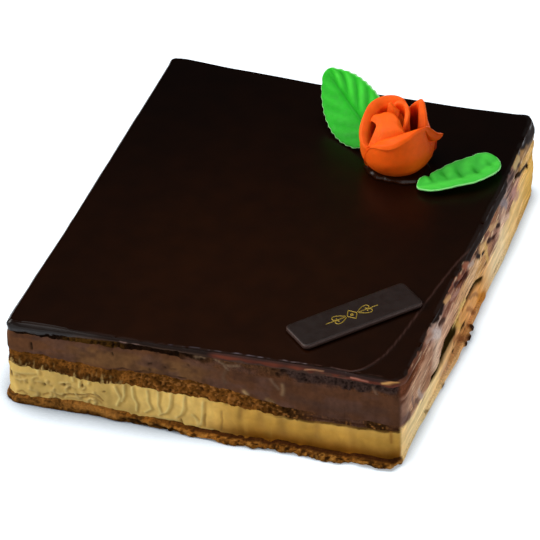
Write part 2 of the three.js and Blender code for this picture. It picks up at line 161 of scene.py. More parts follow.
def pits(u, v, size, seed, share, stretch=1.0):
    """Round hollows, 0 outside and up to 1 in their middles, about one to a cell of that size."""
    columns = int(round(PERIMETER / size))
    source = np.random.default_rng(seed)
    place = source.uniform(0.15, 0.85, (columns, PIT_ROWS, 2))
    radius = source.uniform(0.28, 0.62, (columns, PIT_ROWS))
    radius = np.where(source.uniform(size=radius.shape) < share, radius, 1e-3)
    x = np.asarray(u, float) / PERIMETER * columns
    y = np.asarray(v, float) / (size * stretch) + 0.61 * seed
    ix, iy = np.floor(x).astype(int), np.floor(y).astype(int)
    depth = np.zeros_like(x)
    for dx in (-1, 0, 1):
        for dy in (-1, 0, 1):
            cx, cy = (ix + dx) % columns, (iy + dy) % PIT_ROWS
            far = (ix + dx + place[cx, cy, 0] - x) ** 2 + (iy + dy + place[cx, cy, 1] - y) ** 2
            depth = np.maximum(depth, 1 - far / radius[cx, cy] ** 2)
    return np.clip(depth, 0, 1)


def stroke(u, v, points, width, seed=0):
    """Mask of a brush stroke along a polyline, 1 on it and falling to 0 at about its width."""
    wobble = 0.25 * width
    u = u + wobble * noise(u, v, 2.1 * width + 0.5, 900 + seed)
    v = v + wobble * noise(u, v, 2.1 * width + 0.5, 950 + seed)
    nearest = np.full(np.shape(u), np.inf)
    for (ax, ay), (bx, by) in zip(points, points[1:]):
        lx, ly = bx - ax, by - ay
        part = np.clip(((u - ax) * lx + (v - ay) * ly) / max(lx * lx + ly * ly, 1e-9), 0, 1)
        nearest = np.minimum(nearest, (u - ax - part * lx) ** 2 + (v - ay - part * ly) ** 2)
    return np.exp(-nearest / (0.5 * width) ** 2)


# --- node trees


class Shader:
    """A procedural material while it is being wired up."""

    def __init__(self, name):
        self.material = bpy.data.materials.new(name)
        self.material.use_nodes = True
        self.tree = self.material.node_tree
        self.surface = self.tree.nodes["Principled BSDF"]

    def feed(self, made, **values):
        """Gives a node's inputs their values, or links them where the value is a socket."""
        for name, value in values.items():
            target = made.inputs[name.replace("_", " ")]
            if isinstance(value, bpy.types.NodeSocket):
                self.tree.links.new(value, target)
            else:
                target.default_value = value

    def node(self, kind, result, **inputs):
        """Adds a node and returns one of its outputs. Lower-case settings are its properties."""
        made = self.tree.nodes.new("ShaderNode" + kind)
        for key in [key for key in inputs if key.islower()]:
            setattr(made, key, inputs.pop(key))
        self.feed(made, **inputs)
        return made.outputs[result]

    def set(self, **values):
        self.feed(self.surface, **values)

    def grain(self, size, detail=3.0, distortion=0.0):
        """Noise over the object, size in millimetres, from 0 to 1."""
        place = self.node("TexCoord", "Object")
        settings = dict(Scale=1000 / size, Detail=detail, Distortion=distortion)
        return self.node("TexNoise", "Fac", Vector=place, **settings)

    def ranged(self, value, start, end, low, high):
        """Maps start..end to low..high."""
        ends = dict(From_Min=start, From_Max=end, To_Min=low, To_Max=high)
        return self.node("MapRange", "Result", Value=value, **ends)

    def levels(self, grain, low, high):
        """A grain spread from low to high. Most of the noise lies between 0.3 and 0.7."""
        return self.ranged(self.grain(*grain), 0.3, 0.7, low, high)


def material(name, paint, bump, dull, **settings):
    """Material in the mesh's own tint.

    Paint is the grain that makes the tint darker and lighter, with both levels. Bump is a
    grain, its strength and its depth in millimetres. Dull is the roughness: a number, a grain
    with both levels, or the name of an attribute of the mesh.
    """
    shader = Shader(name)
    tint = shader.node("Attribute", "Color", attribute_name="tint")
    shaded = shader.node("VectorMath", "Vector", operation="SCALE", Vector=tint, Scale=shader.levels(*paint))
    grain, strength, depth = bump
    height = shader.grain(*grain)
    relief = shader.node("Bump", "Normal", Height=height, Strength=strength, Distance=depth * MM)
    if isinstance(dull, str):
        dull = shader.node("Attribute", "Fac", attribute_name=dull)
    elif isinstance(dull, tuple):
        dull = shader.levels(*dull)
    shader.set(Base_Color=shaded, Normal=relief, Roughness=dull, **settings)
    return shader.material


def soft(weight, depth, radius):
    """Settings of a material that light soaks into, depth in millimetres."""
    return dict(Subsurface_Weight=weight, Subsurface_Scale=depth * MM, Subsurface_Radius=radius)


def crumb_material(name):
    paint, bump = ((0.7, 4), 0.72, 1.28), ((0.45, 3), 0.5, 0.3)
    return material(name, paint, bump, 0.92, Specular_IOR_Level=0.0)


def paste_material(name, scatter):
    paint, bump, dull = ((2.6, 3), 0.94, 1.06), ((1.4, 3), 0.18, 0.12), ((2.0,), 0.46, 0.62)
    return material(name, paint, bump, dull, Specular_IOR_Level=0.12, **soft(0.3, 0.9, scatter))


# --- meshes


def new_piece(name, points, faces, material, node, tint, gloss=None):
    """Piece from points in millimetres and rows of triangles or quads, shaded smooth."""
    mesh = bpy.data.meshes.new(name)
    sizes = np.concatenate([np.full(len(f), f.shape[1]) for f in faces])
    corners = np.concatenate([f.ravel() for f in faces])
    mesh.vertices.add(len(points))
    mesh.vertices.foreach_set("co", (np.asarray(points, float) * MM).astype(np.float32).ravel())
    mesh.loops.add(len(corners))
    mesh.loops.foreach_set("vertex_index", corners.astype(np.int32))
    mesh.polygons.add(len(sizes))
    starts = np.concatenate([[0], np.cumsum(sizes)[:-1]])
    mesh.polygons.foreach_set("loop_start", starts.astype(np.int32))
    mesh.polygons.foreach_set("loop_total", sizes.astype(np.int32))
    mesh.update(calc_edges=True)
    dress(name, mesh, material, node, tint, gloss)


def add_object(name, data):
    made = bpy.data.objects.new(name, data)
    bpy.context.scene.collection.objects.link(made)
    return made


def dress(name, mesh, material, node, tint, gloss=None):
    """Object from a mesh with its colours, riding on the cake in place of its CAD node."""
    colours = np.ones((len(mesh.vertices), 4), np.float32)
    colours[:, :3] = tint
    layer = mesh.color_attributes.new(name="tint", type="FLOAT_COLOR", domain="POINT")
    layer.data.foreach_set("color", colours.ravel())
    if gloss is not None:
        values = np.full(len(mesh.vertices), gloss, np.float32)
        mesh.attributes.new(name="gloss", type="FLOAT", domain="POINT").data.foreach_set("value", values)
    mesh.polygons.foreach_set("use_smooth", np.ones(len(mesh.polygons), bool))
    if node in LAYERS:
        mesh.set_sharp_from_angle(angle=math.radians(RIM_ANGLE))
    mesh.materials.append(material)
    piece = add_object(name, mesh)
    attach(piece, "root")
    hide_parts(node)


# --- scanning the solids


def outline_stations():
    """Points and outward normals round a rounded rectangle, from the front side's left end."""
    boxes = np.array([[list(corner)[:2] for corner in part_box(name)] for name in LAYERS]) / MM
    low, high = boxes[:, 0].min(axis=0) + SCAN_CORNER, boxes[:, 1].max(axis=0) - SCAN_CORNER
    pivots = [low, (high[0], low[1]), high, (low[0], high[1])]
    spots, normals = [], []
    for side, pivot in enumerate(pivots):
        turn = side * math.pi / 2
        normal = np.array([math.sin(turn), -math.cos(turn)])
        forward = np.array([math.cos(turn), math.sin(turn)])
        for part in np.arange(0, (high - low)[side % 2], STATION_STEP):
            spots.append(pivot + SCAN_CORNER * normal + part * forward)
            normals.append(normal)
        for bend in np.arange(0, math.pi / 2, STATION_STEP / SCAN_CORNER):
            normals.append(math.cos(bend) * normal + math.sin(bend) * forward)
            spots.append(pivots[(side + 1) % 4] + SCAN_CORNER * normals[-1])
    return np.array(spots), np.array(normals)


def blurred(values, reach):
    """Each row of values averaged with its neighbours round the outline."""
    steps = np.arange(-3 * reach, 3 * reach + 1)
    weights = np.exp(-0.5 * (steps / reach) ** 2)
    total = sum(w * np.roll(values, s, axis=0) for s, w in zip(steps, weights))
    return total / weights.sum()


def closed(depth):
    """A row of depths with its narrow slits and spikes taken out."""
    windows = np.lib.stride_tricks.sliding_window_view(np.pad(depth, 3, mode="edge"), 7)
    return np.median(windows, axis=-1)


def scan_walls(spots, normals):
    """Reads the wall's depth at even heights and the tops of the layers at every SCAN_EVERY-th station."""
    corners, faces, owner = [], [], []
    for index, name in enumerate(LAYERS):
        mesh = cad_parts[name].data
        first = len(corners)
        corners += [v.co / MM for v in mesh.vertices]
        faces += [[first + i for i in p.vertices] for p in mesh.polygons]
        owner += [index] * len(mesh.polygons)
    tree = BVHTree.FromPolygons(corners, faces)
    heights = np.arange(SCAN_START, TOP_HEIGHT, SCAN_STEP)
    coarse = range(0, len(spots), SCAN_EVERY)
    depth = np.full((len(coarse), len(heights)), np.nan)
    tops = np.zeros((len(coarse), len(LAYERS) + 1))
    for row, station in enumerate(coarse):
        inward = Vector((*-normals[station], 0))
        ahead = spots[station] + SCAN_LEAD * normals[station]
        found = np.full(len(heights), -1)
        for column, height in enumerate(heights):
            start = Vector((*ahead, height))
            _, _, face, distance = tree.ray_cast(start, inward, 2 * SCAN_LEAD)
            if face is not None:
                depth[row, column] = distance - SCAN_LEAD
                found[column] = owner[face]
        shallow = depth[row] < np.nanmedian(depth[row]) + SCAN_REACH
        good = shallow & (found >= 0)
        depth[row] = closed(np.interp(heights, heights[good], depth[row][good]))
        for k in range(1, len(LAYERS)):
            below, above = heights[good & (found < k)], heights[good & (found >= k)]
            tops[row, k] = (below.max() + above.min()) / 2
        tops[row, -1] = TOP_HEIGHT
    return heights, blurred(depth, 1), blurred(tops, 1)


def refined(values, count):
    """Readings at every SCAN_EVERY-th station brought to all of them."""
    known = np.arange(0, count, SCAN_EVERY)
    return np.stack([np.interp(np.arange(count), known, column, period=count) for column in values.T], -1)


def walked_length(points):
    """Distance walked along a closed line of points at each of them, and its full length."""
    steps = np.linalg.norm(np.roll(points, -1, axis=0) - points, axis=1)
    return np.concatenate([[0], np.cumsum(steps)[:-1]]), float(steps.sum())


SPOTS, NORMALS = outline_stations()
HEIGHTS, DEPTHS, TOPS = scan_walls(SPOTS, NORMALS)
DEPTHS = refined(DEPTHS, len(SPOTS))
TOPS = refined(TOPS, len(SPOTS))
WALL_LINE = SPOTS - NORMALS * blurred(np.median(DEPTHS, axis=1), 4)[:, None]
AROUND, PERIMETER = walked_length(WALL_LINE)


def wall_depth(z):
    """The scanned depth of the wall at heights z, one row of heights to a station."""
    place = np.clip((z - HEIGHTS[0]) / SCAN_STEP, 0, len(HEIGHTS) - 1.001)
    low = np.floor(place).astype(int)
    rows = np.arange(len(SPOTS))[:, None]
    return mix(DEPTHS[rows, low], DEPTHS[rows, low + 1], place - low)


# --- slab surface

# Raggedness of each interface: size, height and seed of coarse and fine teeth.
RAGGED = {
    1: [(3.1, 0.35, 3), (1.1, 0.25, 4)],
    2: [(2.3, 0.45, 5), (0.9, 0.4, 6)],
    3: [(3.7, 0.4, 7), (1.3, 0.35, 8)],
    4: [(2.6, 0.45, 9), (0.9, 0.3, 10)],
    5: [(5.0, 0.15, 11), (1.4, 0.12, 12)],
}
THICK_END = 1.3


def interface(k):
    """Height of the top of layer k - 1 at every station, with its teeth.

    The glaze hangs lower by THICK_END at the left end of the front.
    """
    height = TOPS[:, k].copy()
    front = smooth((-NORMALS[:, 1] - 0.5) * 4)
    calm = 1 - 0.7 * front * smooth((WALL_LINE[:, 0] - 30) / 15)
    for size, tall, seed in RAGGED[k]:
        height += tall * calm * noise(AROUND, 0 * AROUND, size, seed)
    if k == 5:
        height -= THICK_END * front * smooth((-46 - WALL_LINE[:, 0]) / 22)
    return height


INTERFACES = [0 * AROUND] + [interface(k) for k in range(1, len(LAYERS))] + [0 * AROUND + TOP_HEIGHT]


def plan(u):
    """x and y of the wall at places along it."""
    return np.interp(u, AROUND, WALL_LINE[:, 0]), np.interp(u, AROUND, WALL_LINE[:, 1])


def facing(u):
    """How far each place faces the front, and the right; the rounded corners go with the front and back."""
    x, y = np.interp(u, AROUND, NORMALS[:, 0]), np.interp(u, AROUND, NORMALS[:, 1])
    return smooth((-y - 0.8 * np.abs(x)) * 12 + 0.5), smooth((0.8 * x - np.abs(y)) * 12 + 0.5)


def on_side(u, low, high, edge=3.0):
    """1 between two places along the wall, fading out over an edge."""
    return smooth((u - low) / edge + 0.5) * smooth((high - u) / edge + 0.5)


def blend(low, high, part):
    """Mix of two colours, part per point."""
    return mix(np.asarray(low), np.asarray(high), np.clip(part, 0, 1)[..., None])


def tones(low, high, part):
    """Mix of two sRGB colours."""
    return blend(linear(low), linear(high), part)


def over(colour, paint, part):
    """A colour covered in part by an sRGB one."""
    return blend(colour, linear(paint), part)


def lit(colour, change):
    """A colour made lighter where change is above 0 and darker where it is below."""
    return colour * (1 + change)[..., None]


# Marks on the front of each layer: points as (place along it, height), width, how far they stand out, colour
# and how strongly they cover. Marks that sink in are given darker colours, painted shade in those pits,
# cracks and grooves.
CREAM_SHADE = (150, 108, 56)
PIT = (74, 46, 22)
MARKS = {
    "coffee_buttercream": [
        ([(-65, 11.2), (-64.8, 10.9)], 1, -0.7, PIT, 0.9),
        ([(-57, 12.3), (-56.8, 12.1)], 1, -0.7, PIT, 0.9),
        ([(-49.3, 13.6), (-49.1, 13.2)], 1, -0.7, PIT, 0.9),
        ([(-40.8, 12.2), (-40.3, 12.2)], 0.8, -0.5, PIT, 0.8),
        ([(-79.6, 14), (-79.4, 12)], 2, -0.8, (70, 44, 26), 0.9),
        ([(-76.3, 13.2), (-74.6, 14.1), (-72.6, 13.4)], 0.8, -0.35, CREAM_SHADE, 0.75),
        ([(-76.5, 5), (-74.6, 6.1), (-72.4, 5)], 0.8, -0.35, CREAM_SHADE, 0.75),
        ([(-66, 5.5), (-63.5, 6.8)], 0.8, -0.3, CREAM_SHADE, 0.6),
        ([(-59, 6.2), (-55, 8), (-50, 8.5), (-46, 10), (-43.5, 9.8), (-41, 7.6)],
         0.9, -0.45, CREAM_SHADE, 0.8),
        ([(-50, 7.2), (-46.5, 8.9), (-44, 8.6), (-42, 6.4)], 0.8, -0.3, CREAM_SHADE, 0.6),
        ([(-9.6, 5), (-8.7, 2.4)], 0.8, -0.5, (110, 72, 34), 0.85),
        ([(0.2, 3.5), (0.3, 9)], 0.8, -0.25, CREAM_SHADE, 0.6),
        ([(6.9, 3), (7.2, 8), (7.1, 12)], 0.8, -0.25, CREAM_SHADE, 0.6),
        ([(15, 14.5), (14.6, 10)], 2.4, -0.12, CREAM_SHADE, 0.5),
        ([(22.8, 14), (23, 9)], 3, -0.12, CREAM_SHADE, 0.45),
        ([(31.5, 13.5), (32, 7)], 3.2, -0.1, CREAM_SHADE, 0.4),
        ([(58, 14.5), (58.6, 8)], 3.4, -0.1, CREAM_SHADE, 0.3),
        ([(73.8, 15.2), (74, 10)], 1.2, -0.2, (150, 96, 40), 0.7),
        ([(45, 14.5), (45.4, 8)], 3, -0.1, CREAM_SHADE, 0.4),
    ],
    "sponge_bottom": [
        ([(-80, 3.4), (-77.8, 3.2)], 1.6, -0.5, (64, 40, 20), 0.9),
        ([(-52, 3.4), (-44, 3.6), (-36, 2.2)], 3, 0.2, (186, 124, 56), 0.7),
        ([(-31, 1.5), (-28, 1.9), (-24, 1)], 1.4, -0.5, (58, 36, 16), 0.8),
        ([(-20, 1.2), (-14, 1), (-7, 1.2)], 1.5, -0.6, (52, 32, 14), 0.85),
        ([(-47.6, 1.6), (-47.4, 0.6)], 1.2, -0.4, (66, 36, 14), 0.85),
        ([(72, 1.6), (76, 1)], 2.2, 0.6, (190, 140, 78), 0.7),
    ],
    "chocolate_ganache": [
        ([(-69.7, 30), (-69.5, 27)], 0.9, -0.8, (36, 24, 12), 0.95),
        ([(-36.3, 31.3), (-36.1, 30.4)], 0.8, -0.6, (40, 26, 14), 0.9),
        ([(-45, 22.6), (-38.5, 22.4), (-36.5, 22.9), (-32.5, 24.7), (-28.5, 23.6)],
         0.8, -0.4, (66, 38, 30), 0.85),
        ([(-28.5, 23.6), (-24, 24.8), (-18.5, 23.8), (-15, 24.4), (-7, 24.7)], 0.7, -0.4, (58, 36, 24), 0.8),
        ([(-21.8, 28.7), (-20.7, 29.1)], 0.9, -0.5, (48, 30, 18), 0.85),
        ([(-21.7, 26), (-21.3, 25.6)], 1, -0.5, (48, 30, 18), 0.85),
        ([(-15.2, 28.5), (-14.8, 28)], 0.9, -0.5, (48, 30, 18), 0.8),
        ([(-6, 31.2), (-5.6, 30.8)], 0.8, -0.4, (48, 30, 18), 0.7),
        ([(-13, 28.2), (-10.8, 28.3)], 0.8, -0.2, (66, 44, 30), 0.6),
        ([(16.2, 23.2), (17.2, 22.2)], 1.7, 0.4, (176, 142, 98), 0.85),
        ([(26.6, 31), (28.4, 28.6), (30, 27)], 1.2, 0.2, (124, 100, 80), 0.5),
        ([(31.5, 29), (31.9, 26.5), (31.6, 24.4)], 1.5, 0.3, (140, 110, 80), 0.7),
        ([(25.5, 21.2), (27.5, 20), (26, 18.6)], 1.8, 0.3, (138, 106, 68), 0.7),
        ([(9, 31), (8, 28.5), (9, 26)], 1.6, 0.1, (98, 76, 58), 0.5),
        ([(78.2, 29), (78.4, 22)], 1.6, 0.1, (112, 86, 80), 0.6),
        ([(35, 23), (48, 22), (62, 22.5), (72, 25)], 4, -0.1, (76, 54, 44), 0.5),
    ],
    "sponge_top": [
        ([(-36.3, 35.8), (-36.1, 33.6)], 1.1, -0.8, (30, 18, 10), 0.95),
        ([(-33.7, 35.8), (-33.5, 33.6)], 1.3, -0.8, (30, 18, 10), 0.95),
        ([(-66, 34.4), (-62.5, 34.6)], 1.2, -0.7, (26, 16, 10), 0.95),
        ([(-60.2, 35), (-59.6, 34.6)], 1, -0.6, (26, 16, 10), 0.9),
        ([(-73.2, 35), (-69.2, 34.8)], 0.9, -0.5, (32, 20, 12), 0.8),
        ([(-54.4, 34.2), (-54, 33)], 1.1, -0.6, (40, 24, 12), 0.85),
        ([(-10.2, 36.6), (-10, 33.4)], 1.2, -0.7, (36, 24, 16), 0.9),
        ([(-6.6, 36.4), (-6, 36.8)], 1.3, -0.7, (34, 22, 14), 0.9),
        ([(-24, 36.4), (-20.6, 36.6)], 0.9, -0.5, (38, 24, 16), 0.85),
        ([(-29.4, 37), (-28, 36.6)], 0.9, -0.5, (38, 24, 16), 0.85),
        ([(5, 35.4), (8.6, 34), (10, 31.4)], 1.2, 0.2, (128, 104, 82), 0.6),
        ([(-2.4, 35.6), (0.4, 35.8)], 1.6, 0.2, (140, 112, 86), 0.6),
        ([(10, 33.6), (14.5, 34.4)], 1.2, 0.2, (132, 106, 82), 0.6),
        ([(68, 34), (69.4, 31)], 1.4, 0.2, (118, 92, 74), 0.6),
        ([(45.4, 30.4), (47, 29.4)], 1.2, 0.2, (124, 98, 74), 0.6),
    ],
    "chocolate_glaze": [
        ([(40.5, 37.5), (44, 37.9), (47.5, 38)], 0.5, 0.1, (196, 140, 100), 0.7),
        ([(58.6, 37.2), (62, 37), (65.5, 36.6)], 0.7, 0.1, (196, 124, 104), 0.7),
        ([(49, 36.4), (55, 36.2), (58, 36.8)], 0.6, 0.1, (118, 60, 44), 0.6),
        ([(71.5, 36.9), (75, 37.6), (78, 37.8)], 0.65, 0.2, (214, 158, 92), 0.9),
        ([(-33, 37), (-30.5, 36.9)], 0.6, 0.1, (150, 116, 104), 0.7),
        ([(-28, 36.9), (-25.5, 36.8)], 0.5, 0.1, (140, 110, 100), 0.7),
    ],
}

# Marks of the right side, laid over all its layers: place along it, height. Its darkest marks sink in as
# slits and cracks, darkened with painted shade.
SIDE_MARKS = [
    ([(-56, 12.8), (-50, 11.4), (-44, 12), (-38, 12.8)], 2.6, -0.5, (30, 20, 5), 1),
    ([(-40, 12.8), (-33, 13.4), (-24, 12.4)], 5.4, -0.5, (34, 24, 6), 1),
    ([(-37, 16.2), (-28, 16.6), (-20, 16.2)], 2, -0.4, (40, 28, 8), 1),
    ([(-24, 16.4), (-17, 20), (-12, 19)], 2.6, 0.4, (214, 176, 106), 0.85),
    ([(-21, 14.5), (-18, 11), (-16, 9)], 2.2, 0.3, (208, 160, 84), 0.8),
    ([(-13, 16.8), (-4, 17.2), (4, 16.4), (9, 14.5), (14, 11.5)], 2, -0.8, (52, 35, 11), 1),
    ([(-16, 8.6), (-11, 7.6)], 2.6, -0.2, (56, 30, 18), 1),
    ([(-24, 9), (-18, 6), (-14, 2)], 2.2, -0.2, (150, 92, 56), 0.75),
    ([(-8, 12), (-2, 8), (2, 4)], 1.8, -0.2, (148, 94, 60), 0.75),
    ([(-4, 15), (4, 11.5), (8, 8)], 1.3, -0.2, (140, 96, 66), 0.7),
    ([(9, 6), (13, 3.5), (17, 1.5)], 4, 0.3, (196, 124, 48), 0.9),
    ([(-42, 6), (-36, 5)], 3.6, 0.1, (206, 162, 126), 0.7),
    ([(-17.5, 2.6), (-15.6, 1)], 1.8, 1, (47, 25, 15), 1),
    ([(-12.8, 2.2), (-10.6, 1.4)], 2, 1.3, (47, 25, 15), 1),
    ([(-8.4, 3.4), (-5.8, 1.6)], 1.9, 1.2, (52, 28, 17), 1),
    ([(-26, 6.4), (-22, 7)], 1.2, -0.2, (71, 45, 30), 1),
    ([(-63, 2.2), (-60, 0.8)], 1.4, -0.2, (112, 84, 46), 0.75),
    ([(-44.6, 1), (-42.6, 0.4)], 1.5, 0.4, (71, 49, 30), 1),
    ([(-92, 19.5), (-87, 17.4), (-83, 15.5)], 3.8, -0.1, (92, 68, 62), 0.8),
    ([(-80, 22), (-77, 16)], 1.6, -0.2, (112, 88, 80), 0.7),
    ([(-73, 20), (-68, 14)], 2, 0.2, (172, 152, 142), 0.7),
    ([(-76, 18), (-72, 14)], 1.6, -0.2, (104, 82, 78), 0.65),
    ([(-56, 35), (-50, 31), (-46, 28)], 3.6, 0.2, (192, 176, 170), 0.7),
    ([(-64, 37), (-57, 35.8)], 1.4, 0.2, (170, 138, 122), 0.75),
    ([(-38, 37.6), (-33, 36.4)], 1.6, 0.2, (208, 158, 106), 0.85),
    ([(-46, 33), (-40, 31)], 1.8, -0.2, (76, 52, 44), 1),
    ([(-26, 36.4), (-18, 33.4), (-10, 31)], 2.6, -0.2, (62, 27, 17), 1),
    ([(-30, 33), (-20, 30)], 1.8, 0.2, (172, 130, 114), 0.7),
    ([(-8, 33.5), (-2, 31)], 1.6, 0.2, (178, 154, 140), 0.8),
    ([(4, 30), (8, 27.5)], 2, -0.2, (42, 28, 25), 1),
    ([(8, 31), (13, 29)], 2, 0.2, (210, 166, 112), 0.8),
    ([(11, 25.6), (16, 24.4)], 1.6, -0.2, (45, 27, 15), 1),
    ([(15, 28), (18, 22), (20, 17)], 2.6, 0.2, (208, 166, 98), 0.75),
    ([(22, 31.5), (27, 28), (32, 26.5)], 2.4, 0.2, (198, 156, 112), 0.8),
    ([(20, 26), (24, 24), (30, 21)], 1.9, -0.2, (68, 42, 34), 1),
    ([(32, 25.5), (36, 23)], 2, -0.2, (49, 27, 20), 1),
    ([(38, 24), (46, 20), (50, 18)], 2.6, 0.2, (210, 174, 150), 0.75),
    ([(38, 33), (44, 28), (47, 25)], 2.6, 0.1, (136, 124, 126), 0.8),
    ([(56, 25), (62, 20), (66, 17.5)], 3.4, 0.1, (180, 134, 122), 0.75),
    ([(57, 33), (62, 29.5), (67, 27.4), (73, 25.8), (78, 24.6), (81, 21)],
     1.8, -0.2, (45, 27, 11), 1),
    ([(58, 37.5), (64, 36.2)], 2.8, 0.2, (188, 160, 108), 0.85),
    ([(62, 34), (67, 32.5)], 2.2, -0.2, (61, 39, 22), 1),
    ([(70, 30), (76, 28)], 2.6, 0.2, (200, 158, 98), 0.8),
]

# Ridges that the knife left in the buttercream of the front face, each painted with a highlight on its crest
# and with shade in the groove beside it.
RIDGES = [
    [(-57, 6.4), (-52, 6.8), (-47.5, 5.6)], [(-68, 18), (-67.5, 15.5)],
    [(-79, 14.6), (-73, 14.6), (-69, 15.2)], [(-53.4, 16.8), (-53.2, 15)], [(-50.5, 15.2), (-50.6, 12.5)],
    [(-47, 16.6), (-46.8, 15)], [(-36, 15.5), (-34, 10.5), (-35.5, 6.5)],
    [(-32.5, 17), (-32.3, 12), (-33.5, 9)], [(-29, 16.5), (-28.6, 12), (-27.4, 9), (-27.8, 5.5)],
    [(-23, 16), (-22.6, 11), (-21.4, 8), (-24, 5.6)], [(-18.5, 16), (-18.6, 10), (-17.6, 7)],
    [(-13.5, 16), (-14, 10), (-15.5, 7), (-18.5, 5.6)],
    [(-8, 16), (-8.2, 10.5), (-9.6, 7.2), (-11.5, 5.8)], [(-5, 8), (-3, 5.8), (-2.6, 3.5)],
    [(-0.4, 15), (-0.8, 9), (-1.6, 4)], [(-21.5, 3.2), (-16, 4.2), (-10.5, 4.1)],
    [(-6, 1.8), (0, 1.9), (3, 2.5)],
]
for ridge in RIDGES:
    groove = [(x + 1.0, z - 0.2) for x, z in ridge]
    MARKS["coffee_buttercream"] += [
        (ridge, 1.0, 0.35, (234, 206, 130), 0.85),
        (groove, 1.3, -0.22, (160, 118, 52), 0.5),
    ]

# Small arcs that the knife pressed into the left end of the front, a ridge with a painted highlight and a
# groove with painted shade each.
ARCS = 26
chance = np.random.default_rng(77)
for number in range(ARCS):
    x, z = -77 + 1.35 * number + chance.uniform(-1.5, 1.5), chance.uniform(5.5, 14.5)
    size, start, sweep = chance.uniform(1.0, 2.4), chance.uniform(-1.5, 3.0), chance.uniform(1.2, 2.6)
    turns = np.linspace(start, start + sweep, 6)
    arc = [(x + size * math.cos(a), z + 0.8 * size * math.sin(a)) for a in turns]
    MARKS["coffee_buttercream"] += [
        (arc, 0.9, 0.3, (226, 196, 126), 0.6),
        ([(a + 0.6, b - 0.6) for a, b in arc], 1.0, -0.25, (150, 114, 58), 0.5),
    ]


def lay_marks(marks, along, z, side, press, relief, colour):
    """Works marks into a layer's relief and colour, along one side of the cake."""
    for number, (points, width, stand, paint, cover) in enumerate(marks):
        low, high = min(p[0] for p in points), max(p[0] for p in points)
        near = (along > low - 2 * width) & (along < high + 2 * width) & (side > 0)
        if near.any():
            line = stroke(along[near], z[near], points, width, number)
            strength = np.minimum(press * line, 1) * side[near]
            relief[near] += stand * strength
            colour[near] = over(colour[near], paint, cover * strength)


def crumb_relief(u, v, seed, scale=1.0):
    """Open crumb of a sponge: pits of three sizes between soft ridges."""
    large = pits(u, v, 2.4 * scale, seed, 0.35)
    middle = pits(u, v, 1.3 * scale, seed + 1, 0.6)
    small = pits(u, v, 0.9 * scale, seed + 2, 0.7)
    relief = -0.6 * large - 0.4 * middle - 0.3 * small + 0.3 * rough(u, v, 2.4, seed + 3)
    openness = np.clip(0.75 * large + 0.6 * middle + 0.5 * small, 0, 1)
    return relief, openness


# Each of these gives the relief and colour of one layer at places u, heights z
# and parts t of its height, where x is the way along the front and front is 1
# on the front and 0 on the other sides.


def bottom_sponge(u, z, t, x, front):
    """Thin smooth base at the front's left, a crumbly foot further right and round the sides."""
    relief, hollow = crumb_relief(u, z, 100)
    footed = smooth((x + 36) / 5) * front
    crag = 0.75 * rough(u, z, 6.5, 106) + 0.45 * noise(u, z, 2.3, 107)
    lip = smooth((0.75 - t) / 0.3)
    relief = relief * mix(0.3, 0.75, footed * lip) + crag * lip * mix(0.35, 1.25, footed)
    warm = over(tones((144, 94, 40), (146, 92, 34), footed), (128, 92, 54), 1 - front)
    warm = lit(warm, 0.4 * rough(u, z, 2.6, 112) + 0.45 * on_side(x, -26, 6, 6) * front)
    # Painted shade in the crumb's pits.
    colour = over(warm, (44, 25, 11), 0.75 * hollow)
    speckle = noise(u, z, 0.9, 108) + 0.6 * noise(u, z, 2.0, 113)
    colour = over(colour, (184, 130, 60), 0.75 * smooth(speckle * 1.5 - 0.3) * lip * footed)
    # Painted shade in small holes of the crumb.
    holes = 0.85 * smooth(-speckle * 1.5 - 0.1) * mix(0.35, 1, lip * footed)
    colour = over(colour, (32, 18, 9), holes)
    burnt = on_side(x, -36, -10, 5) * front * smooth(0.55 + 1.3 * noise(u, z, 2.6, 111))
    colour = over(colour, (34, 22, 12), 0.42 * burnt)
    # Painted shade on the top of the foot, under the buttercream, towards the right.
    under = smooth((t - 0.55) / 0.22) * smooth((x + 22) / 20) * front
    colour = over(colour, (56, 26, 13), 0.85 * under)
    low = smooth((0.36 + 0.25 * noise(u, 0 * z, 2.8, 114) - t) / 0.25) * smooth((-30 - x) / 6)
    return relief * (1 - 0.75 * under), over(colour, (58, 31, 12), 0.7 * low * front)


def cream(u, z, t, x, front):
    """Buttercream, worked by the knife at the front's left and drawn smooth elsewhere."""
    worked = front * smooth((2 - x) / 6)
    relief = 0.25 * noise(u, z, 9, 202, 0.8) + 0.12 * noise(u, z, 2.6, 203)
    relief += 0.25 * worked * rough(u, z, 3.2, 205, 3, 1.8)
    base = tones((216, 178, 100), (198, 149, 66), smooth((x + 12) / 34))
    # Painted shade: darker towards the bottom at the right.
    lower = smooth((10.5 - z) / 8.0) * smooth((x + 8) / 30)
    base = over(base, (124, 70, 8), 0.9 * lower)
    upper = smooth((z - 10) / 5) * smooth((x - 5) / 30)
    base = lit(over(base, (216, 172, 88), 0.6 * upper), 0.3 * on_side(x, -22, 12, 16))
    colour = blend(linear((190, 155, 95)), base, front)
    edge = smooth((t - 0.91 + 0.02 * noise(u, 0 * z, 3.0, 210)) / 0.03)
    colour = over(colour, (74, 44, 18), 0.9 * edge * smooth((x - 22) / 14) * front)
    drag = noise(u, 0.25 * z, 2.3, 208) + 0.6 * noise(u, 0.3 * z, 5.1, 209)
    mottle = rough(u, z, 4.0, 206) + worked * noise(u, z, 1.7, 207, 4.0) + 1.1 * (1 - worked) * drag
    return relief, lit(colour, 0.13 * mottle)


